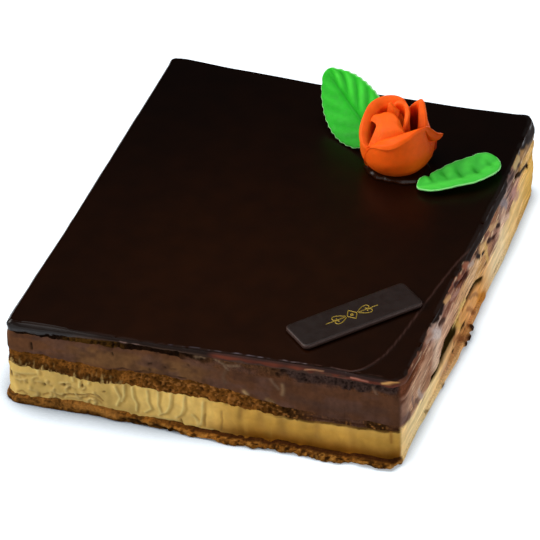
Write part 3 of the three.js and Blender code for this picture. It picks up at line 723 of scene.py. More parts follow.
def middle_sponge(u, z, t, x, front):
    """Brown sponge: threads and soaked crumb at the left, a smear of ganache at the right."""
    relief, hollow = crumb_relief(u, z, 300)
    fibres = noise(u, z, 0.85, 305, 3.5)
    light = tones((136, 83, 32), (80, 50, 22), smooth((x - 25) / 10) * front)
    light = lit(light, 0.35 * on_side(x, 2, 22, 6))
    light = blend(light, light * 0.6, smooth(0.5 + 1.2 * noise(u, z, 2.2, 307, 2.0)))
    # Painted shade in the crumb's pits.
    colour = over(light, (38, 20, 7), 0.7 * hollow)
    left = smooth((-30 - x) / 10) * front
    soaked = smooth((0.52 + 0.15 * noise(u, z, 2.4, 311) - t) / 0.2) * left
    colour = over(colour, (58, 35, 15), 0.65 * soaked)
    tooth = noise(u, 0 * z, 0.6, 309) + 0.9 * noise(u, 0 * z, 1.7, 310)
    spikes = smooth((0.3 * tooth - t) / 0.14) * left
    threads = smooth(2.2 * noise(u, z, 0.6, 312, 5.0) - 0.8) * smooth((0.7 - t) / 0.3) * left
    colour = over(colour, (206, 170, 104), np.maximum(0.7 * spikes, 0.35 * threads))
    relief = 0.75 * relief + 0.25 * fibres + 0.25 * spikes
    crumbly = smooth((x + 34) / 12) * front
    grain = smooth(1.8 * noise(u, z, 0.85, 313) - 0.35) * crumbly
    colour = over(lit(colour, -0.22 * crumbly), (174, 113, 56), 0.6 * grain)
    smeared = smooth((x - 32) / 16) * front * smooth(1.1 - 0.8 * noise(u, z, 5.0, 314))
    smeared *= 1 - 0.9 * on_side(x, 64, 73, 3)
    dark_line = smooth(1 - np.abs(t - 0.35) / 0.3)
    smear = over(ganache_colour(u, z, x), (58, 32, 20), 0.75 * dark_line)
    colour = blend(colour, smear, 0.92 * smeared)
    return relief * (1 - 0.7 * smeared), lit(colour, 0.22 * fibres * (1 - smeared))


def ganache_colour(u, z, x):
    """Ganache of the front: brown, warmer in the middle, mauve where it was smeared."""
    warm = tones((100, 64, 40), (91, 57, 37), smooth(x / 25))
    warm = over(warm, (113, 77, 46), on_side(x, -55, 0, 18) * on_side(z, 24, 32, 3))
    warm = over(warm, (94, 66, 55), 0.6 * smooth(0.2 + 1.5 * rough(u, z, 9, 407, 3, 0.5)))
    warm = over(warm, (66, 42, 32), 0.5 * smooth(-0.1 - 1.6 * rough(u, z, 6, 408, 3, 0.6)))
    return lit(warm, 0.13 * rough(u, z, 7, 403) + 0.1 * noise(u, z, 1.4, 406, 5.0))


def ganache(u, z, t, x, front):
    relief = 0.25 * rough(u, z, 6, 401) + 0.1 * noise(u, z, 1.5, 402)
    return relief, ganache_colour(u, z, x)


def top_sponge(u, z, t, x, front):
    """Dark sponge, golden in one stretch, with ganache spread over its lower part at the right."""
    relief, hollow = crumb_relief(u, z, 500)
    light = tones((32, 18, 9), (76, 49, 17), on_side(x, -56, -32, 4) * front)
    light = over(light, (92, 60, 38), on_side(x, 0, 30, 12) * front)
    light = over(light, (68, 50, 44), smooth((x - 28) / 8) * front)
    light = lit(light, 0.3 * noise(u, z, 1.1, 508, 3.0))
    reach = 0.75 - 0.45 * smooth((x - 26) / 10) + 0.4 * noise(u, z, 3.0, 509)
    spread = smooth((reach - t) / 0.4) * smooth((x + 12) / 10) * front
    # Painted shade in the crumb's pits.
    colour = blend(over(light, (26, 16, 10), 0.7 * hollow), ganache_colour(u, z, x), spread)
    return relief * (0.8 - 0.55 * spread), colour


def glaze_wall(u, z, t, x, front):
    """Black glaze with a painted bluish sheen at the left end, cut to a reddish edge along the right part."""
    colour = np.broadcast_to(linear(GLAZE), (*np.shape(z), 3))
    # Painted sheen: the left end of the glaze's wall shows the bright surroundings as a bluish band.
    sheen = smooth((-34 - x) / 24) * smooth((0.92 - t) / 0.3) * smooth((t + 0.1) / 0.3)
    colour = over(colour, (36, 30, 28), 0.85 * sheen * front)
    red = tones((98, 44, 26), (62, 32, 24), smooth((t - 0.45) / 0.3))
    red = over(red, (46, 24, 20), on_side(x, 42, 76, 10) * smooth((t - 0.25) / 0.3))
    cut = smooth((x - 1) / 4) * smooth((1.0 - t) / 0.12) * front
    colour = blend(colour, lit(red, 0.4 * rough(u, z, 5, 603, 3, 0.5)), 0.95 * cut)
    below = smooth((0.4 + 0.2 * noise(u, z, 2.5, 604) - t) / 0.2) * on_side(x, 6, 58, 5) * front
    crumbs = lit(linear((66, 46, 34)), 0.4 * noise(u, z, 0.9, 605))
    colour = blend(colour, crumbs, 0.85 * below)
    thin = on_side(x, -52, 2, 6) * smooth((0.5 - t) / 0.3) * front
    return 0.12 * rough(u, z, 4, 601) * (1 - t), over(colour, (66, 42, 26), 0.85 * thin)


# The right side from front to back: place along it, height up to which it is
# cream, height where the glaze begins, and its colours low, half way up and high.
SIDE = [
    (-93, 17, 39.5, (210, 182, 128), (108, 82, 74), (86, 52, 38)),
    (-82, 14.5, 39, (216, 196, 152), (154, 120, 100), (94, 56, 40)),
    (-68, 12.5, 38.5, (216, 198, 154), (152, 120, 100), (106, 68, 52)),
    (-58, 12.5, 39, (214, 194, 150), (138, 102, 84), (146, 112, 100)),
    (-50, 12.5, 37.5, (214, 188, 140), (186, 164, 150), (182, 162, 156)),
    (-42, 14, 35.8, (208, 174, 126), (172, 140, 122), (126, 90, 80)),
    (-28, 17, 39, (200, 160, 114), (166, 130, 108), (120, 76, 60)),
    (-14, 18, 37.5, (190, 140, 86), (178, 142, 104), (126, 76, 58)),
    (-2, 17.5, 34, (196, 146, 96), (180, 150, 120), (134, 104, 92)),
    (10, 16, 33, (190, 138, 82), (190, 150, 100), (112, 86, 70)),
    (20, 14, 33, (206, 170, 124), (160, 120, 92), (124, 86, 76)),
    (30, 15, 34, (214, 194, 158), (126, 94, 86), (146, 108, 86)),
    (42, 18, 35.5, (214, 196, 160), (176, 146, 130), (126, 112, 112)),
    (52, 19, 38, (208, 180, 130), (152, 116, 110), (112, 86, 84)),
    (62, 20, 39.5, (208, 178, 126), (172, 130, 116), (132, 102, 72)),
    (72, 22, 36, (206, 174, 118), (196, 160, 108), (150, 116, 72)),
    (84, 23, 33, (200, 162, 90), (198, 164, 104), (92, 76, 66)),
    (93, 23, 31, (192, 154, 84), (190, 156, 100), (80, 72, 68)),
]
# The light that falls on that side, taken out of its colours again.
SIDE_LIGHT = np.array([0.8, 0.9, 1.05])


def side_paint(u, z, y):
    """Colour of the right side, where a dragging knife smeared all the layers along it."""
    places = [row[0] for row in SIDE]
    cream_top, black = (np.interp(y, places, [row[k] for row in SIDE]) for k in (1, 2))
    low, half, high = (
        np.stack([np.interp(y, places, channel) for channel in linear([row[k] for row in SIDE]).T], -1)
        for k in (3, 4, 5)
    )
    streaks = noise(u, z, 13, 901, 0.13) + 0.6 * noise(u, z, 7, 902, 0.12)
    fine = noise(u, z, 7, 910, 0.09) + 0.45 * noise(u, z, 3.2, 911, 0.16)
    fine = fine * smooth((y + 96) / 12)
    busy = on_side(y, -30, 60, 10)
    over_cream = z - cream_top - 1.6 * streaks
    colour = blend(low, half, smooth(over_cream / 2 + 0.5))
    colour = blend(colour, high, smooth((z - 29.5 - 2.5 * streaks) / 3 + 0.5))
    dirty = smooth(over_cream / 3 + 0.5)
    dark = mix(0.12, mix(0.55, 0.95, busy), dirty) * smooth(1.9 * fine - 0.5)
    pale = mix(0.12, mix(0.35, 0.6, busy), dirty) * smooth(-2.0 * fine - 0.75) * smooth((y + 90) / 10)
    colour = over(blend(colour, colour * 0.3, dark), (232, 212, 184), pale)
    black = black + 1.3 * noise(u, 0 * z, 5.5, 907) + 0.7 * noise(u, 0 * z, 1.7, 908)
    return blend(lit(colour, 0.2 * streaks) / SIDE_LIGHT, linear(GLAZE), smooth((z - black) / 1.2 + 0.5))


def wall_gloss(u, t):
    """Roughness of the glaze's wall: glossy at the front's left end, dull where it was cut."""
    x = plan(u)[0]
    dull = np.maximum(facing(u)[0] * smooth((x + 52) / 12), smooth((x - 60) / 10))
    broken = smooth(0.75 + 1.2 * rough(u, 40 * t, 3.2, 610))
    return mix(0.26, 0.8, dull * np.maximum(smooth((0.9 - t) / 0.15), broken))


WALLS = [bottom_sponge, cream, middle_sponge, ganache, top_sponge, glaze_wall]

# How light the front's colours come out, how much harder the marks of the
# right side are pressed, and over what height a border's relief fades out.
FRONT_LEVEL = 0.72
SIDE_PRESS = 1.9
MEETING = 0.9

# How far the four corners stand out at the top, over what length of the wall,
# and by what share of that at the foot, where they draw in.
CORNER_SHARP = 0.9
CORNER_WIDTH = 2.2
CORNER_FOOT = -1.2


def wall_look(index, u, z, t):
    """Relief and colour of a layer's wall at places u, heights z and parts t of its height."""
    (x, y), (front, right) = plan(u), facing(u)
    relief, colour = WALLS[index](u, z, t, x, front)
    colour = blend(colour, side_paint(u, z, y), right)
    streaks = 0.25 * noise(u, z, 13, 901, 0.13) + 0.12 * noise(u, z, 6, 909, 0.12)
    relief = mix(relief, 0.12 * relief + streaks, right)
    lay_marks(MARKS.get(LAYERS[index], []), x, z, front, 1, relief, colour)
    lay_marks(SIDE_MARKS, y, z, right, SIDE_PRESS, relief, colour)
    return relief, colour * mix(1, FRONT_LEVEL, front)[..., None]


def even_heights(low, high, rows):
    """Heights between two lines, at even steps along the wall's profile, and the way walked."""
    fine = mix(low[:, None], high[:, None], np.linspace(0, 1, PROFILE_STEPS)[None, :])
    steps = np.hypot(np.diff(fine), np.diff(wall_depth(fine)))
    walked = np.concatenate([np.zeros((len(fine), 1)), np.cumsum(steps, axis=1)], axis=1)
    part = np.linspace(0, 1, rows)
    z = np.array([np.interp(part * w[-1], w, h) for w, h in zip(walked, fine)])
    return z, walked[:, -1:] * part


def border_relief(k):
    """Relief that the layers on both sides of an interface share there."""
    u, z = AROUND[:, None], INTERFACES[k][:, None]
    below = wall_look(k - 1, u, z, np.ones((1, 1)))[0]
    above = wall_look(k, u, z, np.zeros((1, 1)))[0]
    return (below + above) / 2


def wall_grid(index):
    """Points and colours of a layer's wall, stations by rows."""
    low, high = INTERFACES[index], INTERFACES[index + 1]
    t = np.linspace(0, 1, WALL_ROWS[index])[None, :]
    z, walked = even_heights(low, high, WALL_ROWS[index])
    u = np.broadcast_to(AROUND[:, None], z.shape)
    v = walked + (low[:, None] if index else 0)
    relief, colour = wall_look(index, u, v, t)
    if index > 0:
        relief = mix(border_relief(index), relief, smooth(walked / MEETING))
    if index < len(LAYERS) - 1:
        far = walked[:, -1:] - walked
        relief = mix(border_relief(index + 1), relief, smooth(far / MEETING))
    return wall_points(z, relief), colour


def corner_lift():
    """How far the wall is drawn out at each station to sharpen the four corners."""
    tips = [AROUND[np.argmax(NORMALS @ np.array(way))] for way in ((-1, -1), (1, -1), (1, 1), (-1, 1))]
    away = np.abs(AROUND[:, None] - np.array(tips)[None, :])
    away = np.minimum(away, PERIMETER - away).min(axis=1)
    return CORNER_SHARP * np.exp(-((away / CORNER_WIDTH) ** 2))[:, None]


def wall_points(z, out):
    """Points of the wall at heights z, moved outwards along the profile's normal."""
    out = out + corner_lift() * mix(CORNER_FOOT, 1.0, smooth(z / TOP_HEIGHT))
    slope = (wall_depth(z + 0.4) - wall_depth(z - 0.4)) / 0.8
    level = 1 / np.sqrt(1 + slope**2)
    reach = wall_depth(z) - out * level
    flat = SPOTS[:, None, :] - NORMALS[:, None, :] * reach[..., None]
    return np.concatenate([flat, np.maximum(z + out * slope * level, 0)[..., None]], -1)


def ring_faces(rings, count):
    """Quads between rings of count points each, and the two closing fans."""
    here = np.arange(count)
    ahead = (here + 1) % count
    quads = []
    for ring in range(rings - 1):
        a, b = ring * count, (ring + 1) * count
        quads.append(np.stack([a + here, a + ahead, b + ahead, b + here], -1))
    last = (rings - 1) * count
    bottom = np.stack([ahead, here, np.full(count, rings * count)], -1)
    top = np.stack([last + here, last + ahead, np.full(count, rings * count + 1)], -1)
    return [np.concatenate(quads), np.concatenate([bottom, top])]


def inset_ring(ring, z):
    """A ring pulled a little towards the middle of the slab, level at height z."""
    flat = ring[:, :2] * (1 - HIDDEN_INSET)
    return np.concatenate([flat, np.full((len(ring), 1), z)], -1)


# --- glaze top

# Faint crease that runs round the front right corner.
CREASE = spline([
    (80, -2), (77, -15), (74.5, -30), (72.4, -45), (71, -55),
    (69.5, -65), (67, -77), (63.5, -84.5), (59.5, -89), (55, -90.5), (50, -89.5),
], np.linspace(0, 1, 60))


def top_relief(x, y):
    """Height of the glaze over its flat top: slow waves and the raised crease."""
    height = 0.10 * noise(x + 200, y, 45, 701) + 0.03 * noise(x + 200, y, 12, 702)
    return height + 0.14 * stroke(x, y, CREASE, 0.9, 7)


def top_colour(flat):
    """Colour of the glaze's top, with painted shade making it a little deeper towards the back and the sides.
    """
    deep = smooth((flat[:, 1] + 60) / 150)
    sides = 0.35 * smooth((-flat[:, 0] - 20) / 50) + 0.25 * smooth((flat[:, 0] - 30) / 40)
    return linear(GLAZE) * (mix(1.15, 0.35, deep) * (1 - sides))[:, None]


# Glints along the front's top edge: from and to along it, in from the edge, colour.
GLINTS = [
    (-14, -2, 1.0, (64, 60, 66)), (2, 11, 0.9, (112, 104, 110)), (10, 20, 1.1, (104, 96, 104)),
    (20, 30, 1.0, (112, 102, 108)), (29, 40, 1.3, (116, 102, 104)), (42, 46, 1.8, (74, 50, 44)),
    (50, 57, 1.4, (86, 62, 56)), (60, 70, 2.2, (54, 34, 28)),
]


def glinting(flat, inset):
    """Colour of one ring of the glaze's top, with a painted highlight along the crease and the glints on it.
    """
    x, y = flat.T
    colour = over(top_colour(flat), (76, 52, 46), 0.5 * stroke(x, y, CREASE, 0.7, 7))
    broken = smooth(0.6 + 0.9 * noise(x + 200, 0 * x, 1.6, 721)) * smooth((-y - 80) / 4)
    wavy = inset + 0.4 * noise(x + 200, 0 * x, 3, 720)
    for number, (start, end, depth, paint) in enumerate(GLINTS):
        line = stroke(x, wavy, [(start, depth), (end, depth)], 0.6, number)
        colour = over(colour, paint, 0.85 * line * broken)
    return colour


def glaze_top(rings, tints):
    """Adds the glaze's top, ring by ring inwards from the wall's upper edge."""
    edge_depth = np.sum((SPOTS - rings[-1][:, :2]) * NORMALS, -1)
    for inset in TOP_INSETS:
        depth = mix(edge_depth, np.median(edge_depth), inset / TOP_INSETS[-1])
        flat = SPOTS - NORMALS * (depth + inset)[:, None]
        lift = top_relief(*flat.T) * smooth(inset / 2)
        rings.append(np.column_stack([flat, TOP_HEIGHT + lift]))
        tints.append(glinting(flat, inset))
    outermost = rings[-1][:, :2]
    for part in TOP_RINGS:
        flat = outermost * (1 - part)
        rings.append(np.column_stack([flat, TOP_HEIGHT + top_relief(*flat.T)]))
        tints.append(top_colour(flat))


def glaze_gloss(count):
    """Roughness at each point of the glaze: that of its wall, then even on the top."""
    rows, stations = WALL_ROWS[-1], len(SPOTS)
    gloss = np.full(count, TOP_ROUGHNESS)
    wall = wall_gloss(np.broadcast_to(AROUND, (rows, stations)), np.linspace(0, 1, rows)[:, None])
    gloss[stations : stations * (rows + 1)] = wall.ravel()
    for ring in range(3):
        start = stations * (rows + 1 + ring)
        gloss[start : start + stations] = mix(wall[-1], TOP_ROUGHNESS, ring / 3)
    return gloss


def layer_piece(index, material):
    """One layer of the slab: its wall, and level faces where it meets the layers next to it."""
    name, gloss = LAYERS[index], None
    rings, tints = (list(np.swapaxes(grid, 0, 1)) for grid in wall_grid(index))
    bottom, top = (float(np.median(line)) for line in INTERFACES[index : index + 2])
    if index > 0:
        rings.insert(0, inset_ring(rings[0], bottom))
        tints.insert(0, tints[0])
    if name == "chocolate_glaze":
        glaze_top(rings, tints)
        gloss = glaze_gloss(len(rings) * len(SPOTS) + 2)
    else:
        rings.append(inset_ring(rings[-1], top))
        tints.append(tints[-1])
    every = np.concatenate(rings + [[[0, 0, bottom], [0, 0, top]]])
    paint = np.concatenate(tints + [tints[0][:1], tints[-1][:1]])
    faces = ring_faces(len(rings), len(SPOTS))
    new_piece(name + "_look", every, faces, material, name, paint, gloss)


# --- decorations


def loft(stations, columns, rows):
    """Smooth grid of columns by rows through stations, each a row of 3-D points."""
    along = spline(np.swapaxes(np.asarray(stations, float), 0, 1), np.linspace(0, 1, rows))
    return spline(np.swapaxes(along, 0, 1), np.linspace(0, 1, columns))


def unit(vectors):
    return vectors / np.maximum(np.linalg.norm(vectors, axis=-1, keepdims=True), 1e-9)


def sheet(middle, thickness):
    """Closed thin solid around a grid: points and faces. Thickness may vary over the grid."""
    columns, rows = middle.shape[:2]
    count = columns * rows
    normal = unit(np.cross(np.gradient(middle, axis=0), np.gradient(middle, axis=1)))
    half = 0.5 * np.broadcast_to(thickness, (columns, rows))[..., None] * normal
    points = np.concatenate([(middle + half).reshape(-1, 3), (middle - half).reshape(-1, 3)])
    place = np.arange(count).reshape(columns, rows)
    rim = np.concatenate([place[:, 0], place[-1, 1:], place[-2::-1, -1], place[0, -2:0:-1]])
    ahead = np.roll(rim, -1)
    side = np.stack([rim, rim + count, ahead + count, ahead], -1)
    front = np.stack([place[:-1, :-1], place[1:, :-1], place[1:, 1:], place[:-1, 1:]], -1).reshape(-1, 4)
    return points, [np.concatenate([front, front[:, ::-1] + count, side])]


def hull(sections):
    """Solid through closed sections, columns by rows, with a fan over each end."""
    points = np.concatenate([sections.reshape(-1, 3), sections[:1].mean(1), sections[-1:].mean(1)])
    return points, [np.roll(f[:, ::-1], 1, axis=1) for f in ring_faces(*sections.shape[:2])]


# --- rose

# Angles run round the rose's axis: 0 faces the viewer in front, 90 is its
# right. Own coordinates are (right, towards the viewer, up) in millimetres.
ROSE_HEADING = 19.7
OUTER_WALL = [(0, 11.2), (2, 13.0), (5, 14.7), (9, 15.3), (13, 15.0), (18, 14.2), (24, 12.6)]
INNER_WALL = [(z, r - 0.15) for z, r in OUTER_WALL]
BUD_WALL = [(0, 4.5), (4, 5.8), (9, 6.2), (14, 5.8), (20, 5.2), (25, 6.0)]
PETAL_COLUMNS, PETAL_ROWS = 120, 84
HOOD_COLUMNS, HOOD_ROWS = 90, 60
HOOD_THICKNESS = 0.9

# Petals with a rolled margin: the wall they follow, how far they lean inwards
# inside, and stations round the axis. Each station has its angle, then radius
# and height of the margin's outer edge, of its crown and of its inner edge,
# and how far the margin hangs out over the wall below it.
ROLLED = {
    "rose_petal_cup": (OUTER_WALL, 1, [
        (122, 14, 2.6, 13.7, 3, 13.2, 2.6, 0), (110, 15.4, 5.4, 15.1, 6, 14.4, 5.4, 0.1),
        (99, 16.4, 8, 16.5, 9.2, 15.2, 9.2, 0.8), (89, 18.3, 11, 18.8, 12.6, 17.3, 12.8, 2.4),
        (80, 17, 11.2, 17.3, 14.6, 15.3, 15.2, 2), (70, 15.3, 12.8, 15.6, 17.9, 13.9, 18.4, 2),
        (62, 14.2, 16.2, 14.5, 20.4, 13, 20.4, 1), (53, 14, 19.6, 13.6, 21.4, 12.4, 20.8, 0.5),
        (37, 13.9, 20.6, 13, 21.9, 11.6, 21.2, 0.4), (20, 14.4, 19.4, 13, 21.2, 11.3, 21.2, 0.4),
        (3, 14.8, 17.3, 12.9, 19.8, 10.9, 20.2, 0.4), (-13, 14.8, 15.3, 12.8, 17.9, 10.6, 18.8, 0.5),
        (-28, 14.7, 14.6, 12.8, 16.9, 10.7, 17.6, 0.5), (-42, 14.4, 14.2, 12.9, 15.6, 11.6, 15.8, 0.3),
        (-52, 14.7, 12.8, 14, 13.7, 12.9, 13.4, 0.2), (-59, 15.3, 9.6, 15, 10.2, 14.4, 9.6, 0.1),
        (-65, 15.1, 5.2, 15, 5.6, 14.5, 5.2, 0.1), (-68, 14, 2.4, 13.9, 2.6, 13.5, 2.4, 0.1),
    ]),
    "rose_petal_left": (INNER_WALL, 1.4, [
        (-50, 12.6, 5, 12.2, 6, 11.6, 5.4, 0), (-60, 14.2, 9.6, 13.6, 11, 12.2, 10.4, 0.2),
        (-71, 15.1, 11, 14.3, 12.6, 12.3, 12, 0.3), (-82, 15.3, 12.6, 14, 14.3, 11.8, 13.7, 0.4),
        (-93, 15.2, 14.6, 13.6, 16.6, 11.3, 15.9, 0.5), (-103, 14.8, 16.8, 13.2, 18.6, 10.9, 17.7, 0.5),
        (-116, 14.2, 19.6, 12.8, 21.4, 10.6, 20, 0.5), (-130, 14, 21.8, 12.4, 23.4, 10.1, 21.8, 0.5),
        (-145, 13.6, 22.6, 12, 24.2, 9.9, 22.6, 0.5), (-160, 12.8, 23.4, 11.2, 24.8, 9.2, 23, 0.5),
        (-175, 11.8, 23.8, 10.3, 25.1, 8.6, 23.4, 0.5), (-190, 10.8, 23.9, 9.4, 25, 8, 23.4, 0.4),
        (-205, 9.6, 23.3, 8.6, 24.3, 7.5, 23, 0.3), (-217, 8.8, 20.6, 8.3, 21.2, 7.7, 20.6, 0.1),
    ]),
    "rose_petal_back": (OUTER_WALL, 0.5, [
        (160, 10.6, 13.4, 10.3, 14.2, 9.8, 13.6, 0), (150, 11.2, 18.4, 10.8, 19.4, 10.1, 18.8, 0.1),
        (139, 12.3, 21.1, 11.8, 22.2, 11, 21.3, 0.2), (129, 13.4, 23.2, 12.8, 24.3, 11.8, 23.4, 0.3),
        (121, 13.6, 23.6, 12.8, 24.6, 11.2, 23.2, 0.4), (112, 13.2, 21.4, 12.1, 22.7, 10, 20.8, 0.4),
        (98, 12.7, 18.6, 11.6, 19.8, 9.2, 18.2, 0.4), (84, 12.4, 16, 11.3, 17, 9, 15.8, 0.3),
        (72, 12, 12, 11.5, 12.7, 10.8, 12, 0),
    ]),
    "rose_petal_bud": (BUD_WALL, 0.2, [
        (195, 7.6, 21.4, 7.1, 22.2, 6.4, 21.4, 0), (170, 8.2, 23.4, 7.4, 24.6, 6.4, 23.6, 0.1),
        (146, 7.8, 23.4, 7, 24.6, 5.8, 23.6, 0.2), (122, 6.6, 22.4, 5.8, 23.6, 4.4, 22.6, 0.2),
        (95, 5.5, 21, 4.7, 22.2, 3.3, 21.2, 0.2), (68, 5.1, 20, 4.4, 21.1, 3.1, 20.2, 0.2),
        (42, 5.4, 18.9, 4.8, 19.9, 3.6, 19, 0.1), (20, 5.8, 17.3, 5.3, 18.1, 4.4, 17.4, 0.1),
        (2, 6, 14.6, 5.7, 15.2, 5.2, 14.6, 0),
    ]),
}

# Petals that close over the middle like a hood: rows from behind the margin,
# over it and down to the foot in front, each point (right, forward, up).
HOODS = {
    "rose_petal_front": [
        [(-10.2, -2.4, 17.8), (-9.8, -1.6, 19), (-8, 1.8, 19), (-9.6, 4.6, 16.2), (-11.8, 6, 11.6)],
        [(-9.2, -2.9, 19.2), (-8.7, -2.1, 20.9), (-7.1, 1.9, 20.1), (-8, 5.6, 17.2), (-9.3, 8.2, 13)],
        [(-6.6, -2.6, 19), (-6.2, -2.1, 21.6), (-5.6, 2.2, 21.1), (-6.2, 6.4, 18.9), (-6.6, 9.6, 14.2)],
        [(-4.2, -2.2, 19.2), (-3.9, -1.7, 22.5), (-3.6, 2.4, 21.9), (-3.8, 6.9, 19.8), (-4, 10.2, 15)],
        [(-1.8, -1, 19.2), (-1.7, -0.4, 22.7), (-1.8, 3.2, 21.9), (-1.9, 7.3, 20.2), (-1.8, 10.4, 15.8)],
        [(0.4, 1.3, 18.8), (0.1, 1.7, 22.1), (0, 4.6, 21.5), (0.1, 7.8, 20.3), (0.4, 10.4, 16.2)],
        [(1.7, 4, 17.8), (1.3, 4.3, 20.5), (1.5, 6.2, 20.2), (1.8, 8.4, 19.8), (2.2, 10.2, 16.2)],
        [(2.6, 6.8, 16.4), (2, 6.9, 18.6), (2.4, 7.8, 18.8), (3, 9, 18.7), (3.8, 9.8, 15.5)],
    ],
    "rose_heart": [
        [(-3.2, -5, 20.6), (-2.8, -4.7, 23.4), (-2.9, -4, 22.6), (-3, -3, 17.5)],
        [(-2.6, -5.7, 21.6), (-2.2, -5, 24.9), (-2.4, -4, 24), (-2.6, -2.8, 17.8)],
        [(-1.3, -5.7, 21.4), (-1.2, -4.7, 24.1), (-1.3, -3.2, 23.3), (-1.5, -2.2, 17.8)],
        [(0, -5.4, 20.4), (0, -4.4, 22.8), (-0.1, -2.8, 22.1), (-0.3, -1.6, 17.4)],
        [(1.3, -5, 19.2), (1.2, -4.2, 21.5), (0.9, -2.6, 20.9), (0.5, -1.2, 17)],
    ],
}


def on_rose(points):
    """Points in the rose's own coordinates brought to the cake's."""
    turn = math.radians(ROSE_HEADING)
    low, high = (np.array(corner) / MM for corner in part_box("rose_heart"))
    seat = np.append((low + high)[:2] / 2, low[2])
    across, forward = (math.cos(turn), math.sin(turn), 0), (math.sin(turn), -math.cos(turn), 0)
    return seat + points @ np.array([across, forward, (0, 0, 1)])


def rolled_section(wall, lean, station):
    """Closed outline of a rolled petal at one station, outer foot first."""
    angle, edge_r, edge_z, crown_r, crown_z, inner_r, inner_z, under = station
    heights, radii = np.array(wall).T
    outline = []
    for part, pull in ((0, 0), (0.2, 0), (0.45, 0), (0.75, 0.4)):
        radius = np.interp(part * edge_z, heights, radii)
        outline.append((mix(radius, min(edge_r - under, radius), pull), part * edge_z))
    outline += [
        (edge_r - under, edge_z - 0.2),
        (edge_r, edge_z + 0.2 * under),
        (mix(edge_r, crown_r, 0.4), mix(edge_z, crown_z, 0.72)),
        (crown_r, crown_z),
        (inner_r, inner_z),
        (inner_r - lean, max(inner_z - 2.8, 0.5)),
        (inner_r - lean - 0.3, 0.45 * inner_z),
    ]
    turn = math.radians(angle)
    return [(r * math.sin(turn), r * math.cos(turn), z) for r, z in outline]


def rose_piece(name, material):
    """One petal of the rose, redder inside, with painted shade at its foot, on its right side and in its
    hollows.
    """
    outside, foot, inside = linear(ROSE_COLOUR), linear(ROSE_FOOT_SHADE), linear(ROSE_INSIDE)
    # The cup's outside takes the painted light colour.
    if name == "rose_petal_cup":
        outside, foot = linear(ROSE_CUP_PAINTED_LIGHT), outside
    if name in HOODS:
        points, faces = sheet(loft(HOODS[name], HOOD_COLUMNS, HOOD_ROWS)[::-1], HOOD_THICKNESS)
        part = np.tile(np.linspace(0, 1, HOOD_ROWS), 2 * HOOD_COLUMNS)
        deep, low = smooth((0.2 - part) / 0.1), smooth((part - 0.7) / 0.3)
    else:
        wall, lean, stations = ROLLED[name]
        sections = [rolled_section(wall, lean, station) for station in stations]
        points, faces = hull(loft(sections, PETAL_COLUMNS, PETAL_ROWS))
        part = np.append(np.tile(np.linspace(0, 1, PETAL_ROWS), PETAL_COLUMNS), [0, 0])
        deep, low = smooth((part - 0.78) / 0.12), smooth((0.4 - part) / 0.4)
        # Painted shade deep in the hollow of the rolled petal.
        inside = over(inside, ROSE_HOLLOW_SHADE, 0.8 * smooth((part - 0.885) / 0.07))
    tint = blend(blend(outside, inside, deep), foot, 0.5 * low)
    # Painted shade on the rose's right side.
    shaded = smooth((points[:, 0] - 5) / 10) * smooth(points[:, 1] / 5 + 0.5) * (1 - deep)
    tint = blend(tint, tint * (0.66, 0.55, 0.2), shaded)
    new_piece(name + "_look", on_rose(points), faces, material, name, tint)


# --- leaves

# Leaves lie as their solids do. Left and right are the margins' distances from
# the leaf's axis, at even steps along its span; cap is the length of its
# rounded ends. Folds say how steeply the left and the right half rise, ribs
# how deep their veins are pressed, and bite how deep the teeth are. Dents are
# places on the leaf and depths, and flat is 1 for a broad and faint midrib.
LEAVES = {
    "leaf_large": dict(
        folds=(0.1, 0.1), bend=1.6, veins=5, slant=0.36, ribs=(0.14, 0.62), teeth=13, bite=0.4, cap=1.4,
        base=(24.8, 50.6, 42.4), heading=135.3, slope=17.9, roll=-47.5, span=(0.3, 42.2), flat=0,
        left=[2.5, 7.6, 10.2, 11.8, 12.6, 12.8, 12.4, 11.5, 10, 8, 5.4, 2],
        right=[-3.4, -9.6, -12.4, -13.2, -13.4, -13, -12.3, -11.3, -9.9, -7.8, -5.2, -2],
        dents=[],
    ),
    "leaf_small": dict(
        folds=(0.2, 0.26), bend=0.6, veins=4.2, slant=0.1, ribs=(0.25, 0.15), teeth=8, bite=0.25, cap=4.6,
        base=(48.8, 31, 39.7), heading=39.4, slope=0.5, roll=0, span=(-1.4, 36.2), flat=1,
        left=[1.6, 3.4, 4.2, 4.9, 5.8, 6.6, 7.3, 7.6, 7.8, 8.2, 7.8, 7],
        right=[-5, -7.2, -8.2, -8.9, -9.5, -10.1, -10.6, -10.2, -9.4, -8.2, -6.4, -3.6],
        dents=[(6, 1.6, 1.1), (12.2, 1.2, 0.9), (18.4, -0.6, 0.9), (25.3, -1.6, 1.1), (31.8, 0.2, 0.6)],
    ),
}
LEAF_COLUMNS, LEAF_ROWS = 190, 90
LEAF_THICKNESS = 1.2
LEAF_COLOUR = (28, 176, 26)
# Painted highlight of the leaves.
LEAF_HIGHLIGHT = (70, 216, 58)
LEAF_PALE = (112, 226, 110)
# Painted shade of the leaves.
LEAF_VEIN_SHADE = (22, 138, 26)
LEAF_RIM = (160, 222, 152)


def leaf_turn(leaf):
    """Matrix that turns a leaf from its own coordinates to the way it lies."""

    def turn(key, axis, way=1):
        return Matrix.Rotation(math.radians(way * leaf[key]), 3, axis)

    return np.array(turn("heading", "Z") @ turn("slope", "Y", -1) @ turn("roll", "X"))


